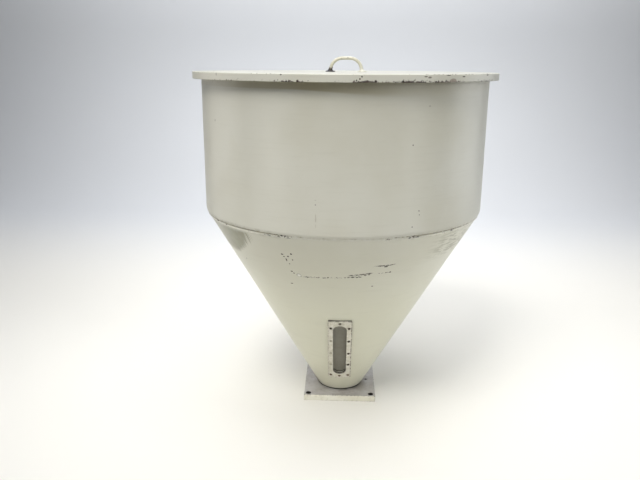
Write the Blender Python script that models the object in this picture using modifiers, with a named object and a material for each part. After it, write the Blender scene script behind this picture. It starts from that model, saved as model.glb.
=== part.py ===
"""Material hopper: a rolled steel barrel on a welded cone, standing on a square
base plate, with a sight window low on the cone and a loose lid with a bent-rod
handle.

Metres, +Z up. The origin is the centre of the base plate's underside, and the
sight window faces -Y.
"""
import bpy
import bmesh
from math import atan2, cos, pi, radians, sin, tan
from mathutils import Matrix, Vector

# ---------------------------------------------------------------- dimensions
GAP = 0.0003                # clearance left between pieces that touch
SEG = 96                    # facets around the large round pieces

PLATE = 0.1524              # square base plate, 6 in
PLATE_T = 0.0127            # 1/2 in thick
BORE_R = 0.0413             # outlet bore, 3 1/4 in across
BOLT_PITCH = 0.1334         # corner bolt holes, 5 1/4 in apart
BOLT_R = 0.0056             # 7/16 in holes
TAP_X = 0.0580              # small tapped hole beside the cone
TAP_R = 0.0026

SHEET = 0.00152             # 16 gauge steel
FOOT_R = 0.0480             # cone's foot, outside
BARREL_R = 0.2790           # barrel, outside
KNEE_Z = 0.4193             # the barrel's wall turns in to the cone's slope
KNEE_R = 0.0120             # outside radius of that turn
SEAM_Z = 0.4143             # round weld between the turned-in edge and the cone
RIM_Z = 0.6802              # top of the barrel
BEAD_H = 0.0030             # height of the round weld
BEAD_OUT = 0.0005           # its crown, proud of the cone

FLANGE_OUT = 0.2870         # flat ring round the barrel's mouth
FLANGE_T = 0.0030

LID_Z = 0.6820              # top of the lid
LID_R = 0.2955
LID_SHEET = 0.0015
BAND_T = 0.0032             # flat bar rolled round the lid
BAND_H = 0.0127

WIN_X = -0.0011                     # the window's middle line, left of the front
WIN_W, WIN_H = 0.0462, 0.1923       # sight window frame, across and up the slope
WIN_S = 0.1468                      # its middle, up the slope from the plate
SLOT_W, SLOT_H = 0.0256, 0.1626
SLOT_S = 0.1476
GASKET_T = 0.0010
FRAME_T = 0.0013
PANE_T = 0.0020
PANE_W, PANE_H = 0.0442, 0.1903
SCREW_X = 0.0175                    # side rows of screws, from the middle line
SCREW_S = (0.0597, 0.0984, 0.1377, 0.1794, 0.2209)
SCREW_TOP_S, SCREW_BOTTOM_S = 0.2359, 0.0578
SCREW_R = 0.0015
SCREW_HOLE_R = 0.0019
HEAD_R, HEAD_H = 0.0027, 0.0018
NUT_R, NUT_H = 0.0030, 0.0022

ROD_R = 0.003175            # handle rod, 1/4 in
HANDLE_X = 0.0029           # middle of the handle
HANDLE_HALF = 0.0316        # from its middle to each leg's foot
HANDLE_TOP = 0.7112         # outside top of the rod
HANDLE_BEND = 0.0230        # centre-line radius of its corners
LEAN = radians(15)          # how far its legs splay
BOSS_R, BOSS_H = 0.0092, 0.0092     # flared fillet round each leg
BOSS_T = 0.0022                     # its flat foot

RUN = BARREL_R - FOOT_R
RISE = KNEE_Z - PLATE_T
SLOPE = atan2(RUN, RISE)            # the cone's half angle
UP = Vector((0, -sin(SLOPE), cos(SLOPE)))       # up the slope at the front
OUT = Vector((0, -cos(SLOPE), -sin(SLOPE)))     # square to it, outwards
ACROSS = Vector((1, 0, 0))

# ---------------------------------------------------------------- clean start
for old in list(bpy.data.objects):
    bpy.data.objects.remove(old, do_unlink=True)

parts = bpy.data.collections.new("material_hopper")
cutters = bpy.data.collections.new("cutters")
bpy.context.scene.collection.children.link(parts)
bpy.context.scene.collection.children.link(cutters)


def paint(name, colour, rough, metal=0.0, alpha=1.0, transmission=0.0):
    m = bpy.data.materials.new(name)
    m.use_nodes = True
    b = m.node_tree.nodes["Principled BSDF"]
    b.inputs["Base Color"].default_value = (*colour, 1)
    b.inputs["Roughness"].default_value = rough
    b.inputs["Metallic"].default_value = metal
    b.inputs["Alpha"].default_value = alpha
    b.inputs["Transmission Weight"].default_value = transmission
    m.diffuse_color = (*colour, alpha)
    return m


CREAM = paint("hopper_enamel", (0.50, 0.48, 0.40), 0.38)
LID_CREAM = paint("lid_enamel", (0.55, 0.53, 0.45), 0.36)
HANDLE_CREAM = paint("handle_enamel", (0.66, 0.64, 0.52), 0.40)
PLATE_STEEL = paint("machined_plate", (0.30, 0.29, 0.29), 0.42, 0.9)
WELD = paint("painted_weld", (0.40, 0.38, 0.31), 0.45)
FRAME = paint("window_frame_enamel", (0.54, 0.52, 0.43), 0.42)
GASKET = paint("black_gasket", (0.03, 0.03, 0.03), 0.8)
PANE = paint("clear_pane", (0.55, 0.54, 0.50), 0.12, 0.0, 0.35, 0.6)
SCREW = paint("dull_screw", (0.16, 0.14, 0.12), 0.45, 0.85)
DARK = paint("burnt_weld", (0.04, 0.035, 0.05), 0.5, 0.6)
FLANGE = paint("rim_enamel", (0.46, 0.44, 0.37), 0.42)


# ---------------------------------------------------------------- helpers
def put(obj, material, collection=parts):
    for c in list(obj.users_collection):
        c.objects.unlink(obj)
    collection.objects.link(obj)
    obj.data.materials.clear()
    if material:
        obj.data.materials.append(material)
    if collection is cutters:
        obj.hide_render = True
        obj.display_type = "WIRE"
    return obj


def settle(obj, angle=35):
    """Turn an object and its modifiers into one plain mesh, shaded smooth
    between its sharp edges."""
    dep = bpy.context.evaluated_depsgraph_get()
    mesh = bpy.data.meshes.new_from_object(obj.evaluated_get(dep))
    name, mat, matrix = obj.name, list(obj.data.materials), obj.matrix_world.copy()
    coll = obj.users_collection[0]
    shown = obj.hide_render, obj.display_type
    bpy.data.objects.remove(obj, do_unlink=True)
    bm = bmesh.new()
    bm.from_mesh(mesh)
    bmesh.ops.remove_doubles(bm, verts=bm.verts, dist=0.00001)
    bm.to_mesh(mesh)
    bm.free()
    mesh.name = name
    out = bpy.data.objects.new(name, mesh)
    out.matrix_world = matrix
    out.hide_render, out.display_type = shown
    coll.objects.link(out)
    mesh.materials.clear()
    for m in mat:
        mesh.materials.append(m)
    mesh.shade_smooth()
    mesh.set_sharp_from_angle(angle=radians(angle))
    bpy.context.view_layer.update()
    return out


def turned(name, profile, material, closed=True, steps=SEG, collection=parts):
    """Turn a profile of (radius, height) points about Z. The points run down
    the outer side first."""
    mesh = bpy.data.meshes.new(name)
    edges = [(i, i + 1) for i in range(len(profile) - 1)]
    if closed:
        edges.append((len(profile) - 1, 0))
    mesh.from_pydata([(r, 0, z) for r, z in profile], edges, [])
    obj = bpy.data.objects.new(name, mesh)
    bpy.context.scene.collection.objects.link(obj)
    s = obj.modifiers.new("Turn", "SCREW")
    s.axis = "Z"
    s.angle = 2 * pi
    s.steps = s.render_steps = steps
    s.use_merge_vertices = True
    s.merge_threshold = 0.00001
    s.use_smooth_shade = True
    return put(obj, material, collection)


def box(name, size, centre, material, bevel=0.0, segments=2, rotation=None,
        collection=parts):
    mesh = bpy.data.meshes.new(name)
    bm = bmesh.new()
    bmesh.ops.create_cube(bm, size=1.0)
    bmesh.ops.scale(bm, vec=size, verts=bm.verts)
    bm.to_mesh(mesh)
    bm.free()
    obj = bpy.data.objects.new(name, mesh)
    bpy.context.scene.collection.objects.link(obj)
    obj.location = centre
    if rotation is not None:
        obj.rotation_euler = rotation.to_euler()
    if bevel:
        b = obj.modifiers.new("Edges", "BEVEL")
        b.width = bevel
        b.segments = segments
        b.limit_method = "ANGLE"
    return put(obj, material, collection)


def drum(name, radius, depth, centre, rotation=None, sides=24, material=None,
         collection=None):
    mesh = bpy.data.meshes.new(name)
    bm = bmesh.new()
    bmesh.ops.create_cone(bm, cap_ends=True, segments=sides, radius1=radius,
                          radius2=radius, depth=depth)
    bm.to_mesh(mesh)
    bm.free()
    obj = bpy.data.objects.new(name, mesh)
    bpy.context.scene.collection.objects.link(obj)
    obj.location = centre
    if rotation is not None:
        obj.rotation_euler = rotation.to_euler()
    return put(obj, material, collection or cutters)


def cut(obj, tool, how="DIFFERENCE"):
    b = obj.modifiers.new(how.title(), "BOOLEAN")
    b.operation = how
    b.object = tool
    return b


def frame_of(x_axis, y_axis, z_axis):
    return Matrix((x_axis, y_axis, z_axis)).transposed()


def cone_point(s, x=0.0, lift=0.0):
    """A point on the cone's outside, s up the slope and x round it, with the
    directions that the surface has there."""
    radius = FOOT_R + s * sin(SLOPE)
    a = x / radius
    out = Vector((cos(SLOPE) * sin(a), -cos(SLOPE) * cos(a), -sin(SLOPE)))
    up = Vector((sin(SLOPE) * sin(a), -sin(SLOPE) * cos(a), cos(SLOPE)))
    p = Vector((radius * sin(a), -radius * cos(a), PLATE_T + s * cos(SLOPE)))
    return p + out * lift, out, up


def cone_r(z):
    return FOOT_R + RUN * (z - PLATE_T) / RISE


def cone_shell(name, outer_lift, thick, material, z0, z1, collection=parts):
    """A turned shell parallel to the cone's outside, its edges cut level."""
    def r(z, lift):
        return cone_r(z) + lift / cos(SLOPE)
    return turned(name, [(r(z1, outer_lift), z1), (r(z0, outer_lift), z0),
                         (r(z0, outer_lift - thick), z0),
                         (r(z1, outer_lift - thick), z1)], material,
                  collection=collection)


def slab(name, width, height, thick, s, lift, collection=None, round_ends=False,
         corner=0.0015):
    """An upright tool square to the slope at the front: a rectangle with small
    round corners, or a slot with round ends."""
    curve = bpy.data.curves.new(name, "CURVE")
    curve.dimensions = "2D"
    curve.fill_mode = "BOTH"
    curve.extrude = thick / 2
    pts = []
    rad = width / 2 if round_ends else corner
    n = 10 if round_ends else 3
    for cx, cy, a0 in ((width / 2 - rad, height / 2 - rad, 0.0),
                       (-width / 2 + rad, height / 2 - rad, pi / 2),
                       (-width / 2 + rad, -height / 2 + rad, pi),
                       (width / 2 - rad, -height / 2 + rad, 3 * pi / 2)):
        for i in range(n + 1):
            a = a0 + pi / 2 * i / n
            q = (cx + rad * cos(a), cy + rad * sin(a))
            if not pts or (abs(q[0] - pts[-1][0]) + abs(q[1] - pts[-1][1])) > 1e-6:
                pts.append(q)
    sp = curve.splines.new("POLY")
    sp.points.add(len(pts) - 1)
    for p, (x, y) in zip(sp.points, pts):
        p.co = (x, y, 0, 1)
    sp.use_cyclic_u = True
    obj = bpy.data.objects.new(name, curve)
    bpy.context.scene.collection.objects.link(obj)
    p, out, up = cone_point(s, 0.0, lift)
    obj.location = p + ACROSS * WIN_X
    obj.rotation_euler = frame_of(ACROSS, up, out).to_euler()
    put(obj, None, collection or cutters)
    bpy.context.view_layer.update()
    return settle(obj)


# ---------------------------------------------------------------- base plate
plate = box("base_plate", (PLATE, PLATE, PLATE_T), (0, 0, PLATE_T / 2),
            PLATE_STEEL, bevel=0.0006)
cut(plate, drum("bore_tool", BORE_R, 3 * PLATE_T, (0, 0, PLATE_T / 2), sides=64))
for i, (sx, sy) in enumerate(((-1, -1), (1, -1), (1, 1), (-1, 1)), 1):
    cut(plate, drum("bolt_hole_tool_%d" % i, BOLT_R, 3 * PLATE_T,
                    (sx * BOLT_PITCH / 2, sy * BOLT_PITCH / 2, PLATE_T / 2)))
cut(plate, drum("tapped_hole_tool", TAP_R, 3 * PLATE_T,
                (TAP_X, 0, PLATE_T / 2), sides=16))
bpy.context.view_layer.update()
plate = settle(plate)

# ---------------------------------------------------------------- cone
CONE_BOTTOM = PLATE_T + GAP
CONE_TOP = SEAM_Z - BEAD_H / 2 - GAP
cone = cone_shell("cone_shell", 0.0, SHEET, CREAM, CONE_BOTTOM, CONE_TOP)

slot_tool = slab("slot_tool", SLOT_W, SLOT_H, 0.060, SLOT_S, 0.0, round_ends=True)
frame_tool = slab("frame_tool", WIN_W, WIN_H, 0.060, WIN_S, 0.0)
pane_tool = slab("pane_tool", PANE_W, PANE_H, 0.060, WIN_S, 0.0)

# the thread of each screw leaves a round hole square to the slope where it sits
SCREWS = [(SCREW_TOP_S, WIN_X)]
SCREWS += [(s, WIN_X + SCREW_X) for s in reversed(SCREW_S)]
SCREWS += [(SCREW_BOTTOM_S, WIN_X)]
SCREWS += [(s, WIN_X - SCREW_X) for s in SCREW_S]
hole_tools = []
for i, (s, x) in enumerate(SCREWS, 1):
    p, out, up = cone_point(s, x)
    side = up.cross(out)
    hole_tools.append(drum("screw_hole_tool_%02d" % i, SCREW_HOLE_R, 0.024, p,
                           frame_of(side, up, out), sides=12))


def window_piece(obj, outline):
    if outline is not None:
        cut(obj, outline, "INTERSECT")
    cut(obj, slot_tool)
    for t in hole_tools:
        cut(obj, t)
    bpy.context.view_layer.update()
    return settle(obj)


cone = window_piece(cone, None)

# ---------------------------------------------------------------- sight window
Z_LOW, Z_HIGH = PLATE_T + 0.008, PLATE_T + 0.245
gasket = window_piece(cone_shell("sight_gasket", GAP + GASKET_T, GASKET_T, GASKET,
                                 Z_LOW, Z_HIGH), frame_tool)
frame_lift = 2 * GAP + GASKET_T + FRAME_T
sight_frame = window_piece(cone_shell("sight_frame", frame_lift, FRAME_T, FRAME,
                                      Z_LOW, Z_HIGH), frame_tool)

# the pane lies against the inside of the cone and covers the slot
pane = cone_shell("sight_pane", -SHEET - GAP, PANE_T, PANE, Z_LOW, Z_HIGH)
cut(pane, pane_tool, "INTERSECT")
for t in hole_tools:
    cut(pane, t)
bpy.context.view_layer.update()
pane = settle(pane)

# one screw with its nut: a round head outside, a six-sided nut inside
HEAD_SEAT = frame_lift + GAP
NUT_SEAT = -SHEET - GAP - PANE_T - 0.0004


def screw_mesh():
    head = [(0.0, HEAD_SEAT + HEAD_H),
            (HEAD_R * 0.60, HEAD_SEAT + HEAD_H * 0.90),
            (HEAD_R, HEAD_SEAT + HEAD_H * 0.35),
            (HEAD_R, HEAD_SEAT),
            (SCREW_R, HEAD_SEAT),
            (SCREW_R, NUT_SEAT - NUT_H - 0.0010),
            (0.0, NUT_SEAT - NUT_H - 0.0010)]
    body = turned("screw_blank", head, SCREW, closed=False, steps=12)
    nut = drum("nut_blank", NUT_R, NUT_H, (0, 0, NUT_SEAT - NUT_H / 2), sides=6)
    cut(body, nut, "UNION")
    bpy.context.view_layer.update()
    body = settle(body)
    mesh = body.data
    bpy.data.objects.remove(body, do_unlink=True)
    bpy.data.objects.remove(nut, do_unlink=True)
    return mesh


SCREW_MESH = screw_mesh()
for i, (s, x) in enumerate(SCREWS, 1):
    p, out, up = cone_point(s, x)
    side = up.cross(out)
    spin = Matrix.Rotation(radians(37 * i), 3, "Z")
    obj = bpy.data.objects.new("sight_screw_%02d" % i, SCREW_MESH)
    obj.location = p
    obj.rotation_euler = (frame_of(side, up, out) @ spin).to_euler()
    parts.objects.link(obj)

# ---------------------------------------------------------------- barrel
LIP_Z = SEAM_Z + BEAD_H / 2 + GAP
KNEE_TOP = KNEE_Z + KNEE_R * tan(SLOPE / 2)
THICK = SHEET / cos(SLOPE)          # the cone's sheet, measured level


def knee(radius):
    """Points round the turn from the upright wall to the cone's slope."""
    return [(BARREL_R - KNEE_R + radius * cos(SLOPE * i / 3),
             KNEE_TOP - radius * sin(SLOPE * i / 3)) for i in range(4)]


profile = [(BARREL_R, RIM_Z)] + knee(KNEE_R) + [(cone_r(LIP_Z), LIP_Z)]
profile += [(cone_r(LIP_Z) - THICK, LIP_Z)] + knee(KNEE_R - SHEET)[::-1]
barrel = settle(turned("barrel_shell", profile + [(BARREL_R - SHEET, RIM_Z)], CREAM))

# round weld between the barrel's turned-in edge and the cone
profile = [(cone_r(SEAM_Z + BEAD_H / 2), SEAM_Z + BEAD_H / 2),
           (cone_r(SEAM_Z) + BEAD_OUT, SEAM_Z),
           (cone_r(SEAM_Z - BEAD_H / 2), SEAM_Z - BEAD_H / 2)]
profile += [(r - THICK, z) for r, z in (profile[2], profile[0])]
bead = settle(turned("seam_weld", profile, WELD), angle=70)

# flat ring welded round the barrel's mouth, on which the lid rests
flange = settle(turned("top_flange", [
    (FLANGE_OUT, RIM_Z), (FLANGE_OUT, RIM_Z - FLANGE_T),
    (BARREL_R + GAP, RIM_Z - FLANGE_T), (BARREL_R + GAP, RIM_Z)], FLANGE))

# fillet weld inside the outlet, between the cone's foot and the plate
INNER_FOOT = FOOT_R - SHEET / cos(SLOPE)
weld_in = settle(turned("outlet_weld", [
    (INNER_FOOT - 0.0002, PLATE_T + 0.0034),
    (INNER_FOOT - 0.0008, PLATE_T + GAP),
    (INNER_FOOT - 0.0036, PLATE_T + GAP),
    (INNER_FOOT - 0.0020, PLATE_T + 0.0026)], WELD, steps=48), angle=50)

# upright welds that close the rolled sheets at the back
low, high = KNEE_TOP + 0.0015, RIM_Z - FLANGE_T - 0.0040
barrel_seam = settle(box(
    "barrel_back_weld", (0.0042, 0.0008, high - low),
    (0, BARREL_R + GAP + 0.0004, (high + low) / 2), WELD, bevel=0.0003))
low, high = 0.0120, (SEAM_Z - PLATE_T) / cos(SLOPE) - 0.0050
back_up = Vector((0, sin(SLOPE), cos(SLOPE)))
back_out = Vector((0, cos(SLOPE), -sin(SLOPE)))
mid = Vector((0, FOOT_R, PLATE_T)) + back_up * (low + high) / 2
cone_seam = settle(box(
    "cone_back_weld", (0.0042, 0.0008, high - low),
    mid + back_out * (GAP + 0.0004), WELD, bevel=0.0003,
    rotation=frame_of(Vector((1, 0, 0)), back_out, back_up)))

# ---------------------------------------------------------------- lid
band = settle(turned("lid_band", [
    (LID_R - 0.0008, LID_Z), (LID_R, LID_Z - 0.0008),
    (LID_R, LID_Z - BAND_H + 0.0004), (LID_R - 0.0004, LID_Z - BAND_H),
    (LID_R - BAND_T, LID_Z - BAND_H), (LID_R - BAND_T, LID_Z)],
    LID_CREAM), angle=50)
DISC_R = LID_R - BAND_T - GAP
disc = settle(turned("lid_top", [
    (0.0, LID_Z), (DISC_R, LID_Z),
    (DISC_R, LID_Z - LID_SHEET), (0.0, LID_Z - LID_SHEET)], LID_CREAM,
    closed=False))

# handle: a bent rod, its two legs down to the lid
curve = bpy.data.curves.new("lid_handle", "CURVE")
curve.dimensions = "3D"
curve.bevel_depth = ROD_R
curve.bevel_resolution = 3
curve.use_fill_caps = True
top = HANDLE_TOP - ROD_R
foot = LID_Z + GAP
STUB = 0.0012               # each leg stands upright for this much
line = [(-HANDLE_HALF, foot), (-HANDLE_HALF, foot + STUB)]
leg = top - HANDLE_BEND * (1 - sin(LEAN)) - foot - STUB
middle = -HANDLE_HALF + leg * tan(LEAN) + HANDLE_BEND * cos(LEAN)
for i in range(9):
    a = pi - LEAN - (pi / 2 - LEAN) * i / 8
    line.append((middle + HANDLE_BEND * cos(a),
                 top - HANDLE_BEND + HANDLE_BEND * sin(a)))
line += [(-x, z) for x, z in reversed(line)]
sp = curve.splines.new("POLY")
sp.points.add(len(line) - 1)
for p, (x, z) in zip(sp.points, line):
    p.co = (HANDLE_X + x, 0, z, 1)
rod = bpy.data.objects.new("lid_handle", curve)
bpy.context.scene.collection.objects.link(rod)
put(rod, HANDLE_CREAM)
bpy.context.view_layer.update()
rod = settle(rod)

# flared fillet welds round the legs, leaning with them
BOSS_HOLE = ROD_R + 0.0005
for name, side, mat in (("handle_foot_left", -1, DARK),
                        ("handle_foot_right", 1, HANDLE_CREAM)):
    f = turned(name, [(ROD_R + 0.0009, BOSS_H), (ROD_R + 0.0019, BOSS_H * 0.45),
                      (ROD_R + 0.0030, BOSS_T), (BOSS_R, BOSS_T * 0.8), (BOSS_R, 0.0),
                      (BOSS_HOLE, 0.0), (BOSS_HOLE, STUB), (BOSS_HOLE, BOSS_H)],
               mat, steps=20)
    f.location = (HANDLE_X + side * HANDLE_HALF, 0, LID_Z + GAP)
    bpy.context.view_layer.update()
    f = settle(f, angle=50)
    for v in f.data.vertices:
        v.co.x -= side * tan(LEAN) * max(0.0, v.co.z - STUB)
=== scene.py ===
from math import asin, atan2, cos, exp, hypot, pi, radians, sin, sqrt, tan

import bmesh
import bpy
import numpy as np
from mathutils import Matrix, Vector


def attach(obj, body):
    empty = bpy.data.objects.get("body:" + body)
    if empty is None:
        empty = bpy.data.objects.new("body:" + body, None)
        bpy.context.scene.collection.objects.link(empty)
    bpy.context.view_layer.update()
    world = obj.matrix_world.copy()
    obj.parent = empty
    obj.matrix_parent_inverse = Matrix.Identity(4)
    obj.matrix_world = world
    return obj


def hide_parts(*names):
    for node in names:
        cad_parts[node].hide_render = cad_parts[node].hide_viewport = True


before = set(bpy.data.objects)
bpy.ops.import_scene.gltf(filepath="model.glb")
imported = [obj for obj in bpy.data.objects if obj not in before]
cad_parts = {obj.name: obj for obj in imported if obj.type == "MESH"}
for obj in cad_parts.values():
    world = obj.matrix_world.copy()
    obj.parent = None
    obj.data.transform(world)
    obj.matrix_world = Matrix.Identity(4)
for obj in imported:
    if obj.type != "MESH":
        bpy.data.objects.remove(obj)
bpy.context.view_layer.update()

# ------------------------------------------------------------------ the part
GAP = 0.0003
PLATE, PLATE_T = 0.1524, 0.0127
BORE_R, BOLT_PITCH, BOLT_R = 0.0413, 0.1334, 0.0056
TAP_X, TAP_R = 0.0580, 0.0026
SHEET = 0.00152
FOOT_R, BARREL_R, RIM_Z = 0.0480, 0.2790, 0.6802
KNEE_Z, KNEE_R, SEAM_Z, BEAD_H = 0.4193, 0.0120, 0.4143, 0.0030
FLANGE_OUT, FLANGE_T = 0.2870, 0.0030
LID_Z, LID_R, LID_SHEET, BAND_T, BAND_H = 0.6820, 0.2955, 0.0015, 0.0032, 0.0127
WIN_X, WIN_W, WIN_H, WIN_S = -0.0011, 0.0462, 0.1923, 0.1468
SLOT_W, SLOT_H, SLOT_S = 0.0256, 0.1626, 0.1476
GASKET_T, FRAME_T, PANE_T = 0.0010, 0.0013, 0.0020
PANE_W, PANE_H = 0.0442, 0.1903
SCREW_X = 0.0175
SCREW_S = (0.0597, 0.0984, 0.1377, 0.1794, 0.2209)
SCREW_TOP_S, SCREW_BOTTOM_S = 0.2359, 0.0578
SCREW_R, SCREW_HOLE_R = 0.0015, 0.0019
HEAD_R, HEAD_H, NUT_R, NUT_H = 0.0027, 0.0018, 0.0030, 0.0022
ROD_R, HANDLE_X, HANDLE_HALF = 0.003175, 0.0029, 0.0316
HANDLE_TOP, HANDLE_BEND, LEAN, STUB = 0.7112, 0.0230, radians(15), 0.0012
BOSS_R, BOSS_H, BOSS_T = 0.0092, 0.0092, 0.0022
RUN, RISE = BARREL_R - FOOT_R, KNEE_Z - PLATE_T
SLOPE = atan2(RUN, RISE)
FRAME_LIFT = 2 * GAP + GASKET_T + FRAME_T
rng = np.random.default_rng(7)


def cone_r(z):
    return FOOT_R + RUN * (z - PLATE_T) / RISE


def cone_point(s, x=0.0, lift=0.0):
    """A point s up the cone's slope and x round it, lifted off its outside."""
    radius = FOOT_R + s * sin(SLOPE)
    a = x / radius
    out = Vector((cos(SLOPE) * sin(a), -cos(SLOPE) * cos(a), -sin(SLOPE)))
    up = Vector((sin(SLOPE) * sin(a), -sin(SLOPE) * cos(a), cos(SLOPE)))
    p = Vector((radius * sin(a), -radius * cos(a), PLATE_T + s * cos(SLOPE)))
    return p + out * lift, out, up


# ------------------------------------------------------------------ meshes
def smoothstep(a, b, x):
    t = min(1.0, max(0.0, (x - a) / (b - a)))
    return t * t * (3 - 2 * t)


def finish_mesh(obj, angle=35):
    obj.data.shade_smooth()
    obj.data.set_sharp_from_angle(angle=radians(angle))
    return obj


def obj_from(name, verts, faces):
    mesh = bpy.data.meshes.new(name)
    mesh.from_pydata([tuple(v) for v in verts], [], faces)
    mesh.validate()
    obj = bpy.data.objects.new(name, mesh)
    bpy.context.scene.collection.objects.link(obj)
    return obj


def apply_all(obj):
    dep = bpy.context.evaluated_depsgraph_get()
    mesh = bpy.data.meshes.new_from_object(obj.evaluated_get(dep))
    obj.modifiers.clear()
    old, obj.data = obj.data, mesh
    bpy.data.meshes.remove(old)
    return obj


def lathe(name, profile, steps=256, wobble=None):
    """Turn a closed profile of (r, z), outer side down first, about Z. wobble
    gives (dr, dz) at an angle from the front and a profile point."""
    verts, rows = [], []
    for r, z in profile:
        if r < 1e-7:
            rows.append([len(verts)] * steps)
            verts.append((0, 0, z))
            continue
        row = []
        for i in range(steps):
            a = 2 * pi * i / steps
            dr, dz = wobble(a, r, z) if wobble else (0, 0)
            row.append(len(verts))
            verts.append(((r + dr) * sin(a), -(r + dr) * cos(a), z + dz))
        rows.append(row)
    faces, n = [], len(rows)
    for j in range(n):
        a, b = rows[j], rows[(j + 1) % n]
        if a[0] == a[1] and b[0] == b[1]:
            continue
        for i in range(steps):
            k = (i + 1) % steps
            f = [a[i], b[i], b[k], a[k]]
            q = []
            for v in f:
                if v not in q:
                    q.append(v)
            faces.append(q)
    return obj_from(name, verts, faces)


def line(p, q, n):
    """n points from p towards q, leaving q out."""
    return [(p[0] + (q[0] - p[0]) * i / n, p[1] + (q[1] - p[1]) * i / n)
            for i in range(n)]


def arc(cx, cz, r, a0, a1, n):
    return [(cx + r * cos(a0 + (a1 - a0) * i / n), cz + r * sin(a0 + (a1 - a0) * i / n))
            for i in range(n + 1)]


def outline(w, h, corner, n, cx=0.0, cy=0.0):
    pts = []
    for ox, oy, a0 in ((w / 2 - corner, h / 2 - corner, 0.0),
                       (-w / 2 + corner, h / 2 - corner, pi / 2),
                       (-w / 2 + corner, -h / 2 + corner, pi),
                       (w / 2 - corner, -h / 2 + corner, 3 * pi / 2)):
        for i in range(n + 1):
            a = a0 + pi / 2 * i / n
            q = (cx + ox + corner * cos(a), cy + oy + corner * sin(a))
            if not pts or hypot(q[0] - pts[-1][0], q[1] - pts[-1][1]) > 1e-6:
                pts.append(q)
    if hypot(pts[0][0] - pts[-1][0], pts[0][1] - pts[-1][1]) < 1e-6:
        pts.pop()
    return pts


def prism(name, pts, z0, z1):
    n = len(pts)
    verts = [(x, y, z0) for x, y in pts] + [(x, y, z1) for x, y in pts]
    faces = [list(range(n))[::-1], list(range(n, 2 * n))]
    faces += [[i, (i + 1) % n, n + (i + 1) % n, n + i] for i in range(n)]
    return obj_from(name, verts, faces)


def join(name, objs):
    bm = bmesh.new()
    for o in objs:
        o.data.transform(o.matrix_world)
        bm.from_mesh(o.data)
    mesh = bpy.data.meshes.new(name)
    bm.to_mesh(mesh)
    bm.free()
    for o in objs:
        bpy.data.objects.remove(o)
    obj = bpy.data.objects.new(name, mesh)
    bpy.context.scene.collection.objects.link(obj)
    return obj


def boolean(obj, tool, how="DIFFERENCE", keep=False):
    m = obj.modifiers.new("b", "BOOLEAN")
    m.operation, m.object, m.solver = how, tool, "EXACT"
    bpy.context.view_layer.update()
    apply_all(obj)
    if not keep:
        bpy.data.objects.remove(tool)
    return obj


def bevel(obj, width, segments=2, angle=30):
    m = obj.modifiers.new("v", "BEVEL")
    m.width, m.segments, m.limit_method = width, segments, "ANGLE"
    m.angle_limit = radians(angle)
    m.harden_normals = False
    bpy.context.view_layer.update()
    return apply_all(obj)


SCREWS = [(SCREW_TOP_S, WIN_X)] + [(s, WIN_X + SCREW_X) for s in reversed(SCREW_S)]
SCREWS += [(SCREW_BOTTOM_S, WIN_X)] + [(s, WIN_X - SCREW_X) for s in SCREW_S]


def strip(name, width, height, z0, z1, hole_r, with_slot=True, corner=0.0015,
          step=0.0035):
    """A flat plate in (across, up the slope, lift), cut into a fine grid, with
    the slot and the screw holes cut through it."""
    bm = bmesh.new()
    nx, ny = round(width / step), round(height / step)
    ring = outline(width, height, corner, 5, WIN_X, WIN_S)
    base = prism(name, ring, z0, z1)
    bm.from_mesh(base.data)
    for i in range(1, nx):
        x = WIN_X - width / 2 + width * i / nx
        bmesh.ops.bisect_plane(bm, geom=bm.verts[:] + bm.edges[:] + bm.faces[:],
                               plane_co=(x, 0, 0), plane_no=(1, 0, 0))
    for j in range(1, ny):
        y = WIN_S - height / 2 + height * j / ny
        bmesh.ops.bisect_plane(bm, geom=bm.verts[:] + bm.edges[:] + bm.faces[:],
                               plane_co=(0, y, 0), plane_no=(0, 1, 0))
    bm.to_mesh(base.data)
    bm.free()
    tools = []
    if with_slot:
        tools.append(prism("t", outline(SLOT_W, SLOT_H, SLOT_W / 2, 12, WIN_X, SLOT_S),
                           z0 - 0.01, z1 + 0.01))
    for s, x in SCREWS:
        ring = [(x + hole_r * cos(2 * pi * i / 20), s + hole_r * sin(2 * pi * i / 20))
                for i in range(20)]
        tools.append(prism("t", ring, z0 - 0.01, z1 + 0.01))
    return boolean(base, join("tools", tools))


def wrap(obj, extra=None):
    """Bend a flat strip onto the cone."""
    for v in obj.data.vertices:
        x, s, lift = v.co
        if extra:
            lift += extra(x, s)
        v.co = cone_point(s, x, lift)[0]
    obj.data.update()
    return obj


# soft unevenness of the rolled sheets, flat round the window
PH = rng.uniform(0, 2 * pi, 24)


def sheet_wave(a, z):
    w = (0.34 * sin(2 * a + PH[0]) * sin(6.0 * z + PH[1])
         + 0.22 * sin(5 * a + 9 * z + PH[2]) * sin(11.0 * z + PH[3])
         + 0.13 * sin(9 * a - 14 * z + PH[4]) * sin(23.0 * z + PH[5])
         + 0.07 * sin(17 * a + 21 * z + PH[6]) * sin(37.0 * z + PH[7])
         + 0.035 * sin(31 * a - 40 * z + PH[8]))
    # flats beside the back weld, where rolling never bends the sheet's ends
    d = pi - abs((a + pi) % (2 * pi) - pi)
    w -= 0.5 * exp(-(d / 0.10) ** 2) - 0.35 * exp(-(d / 0.025) ** 2)
    return w * 0.001


def win_fade(a, z):
    a = (a + pi) % (2 * pi) - pi
    x = abs(a - WIN_X / cone_r(z)) * cone_r(z)
    return smoothstep(0.030, 0.060, x) if z < 0.27 else smoothstep(0.27, 0.33, z)


def rim_fade(z):
    return smoothstep(0.0, 0.06, RIM_Z - z) * 0.9 + 0.1


def barrel_wobble(a, r, z):
    w = sheet_wave(a, z) * rim_fade(z)
    k = SLOPE * smoothstep(KNEE_Z + 0.004, KNEE_Z - 0.003, z)
    return w * cos(k), -w * sin(k)


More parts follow.
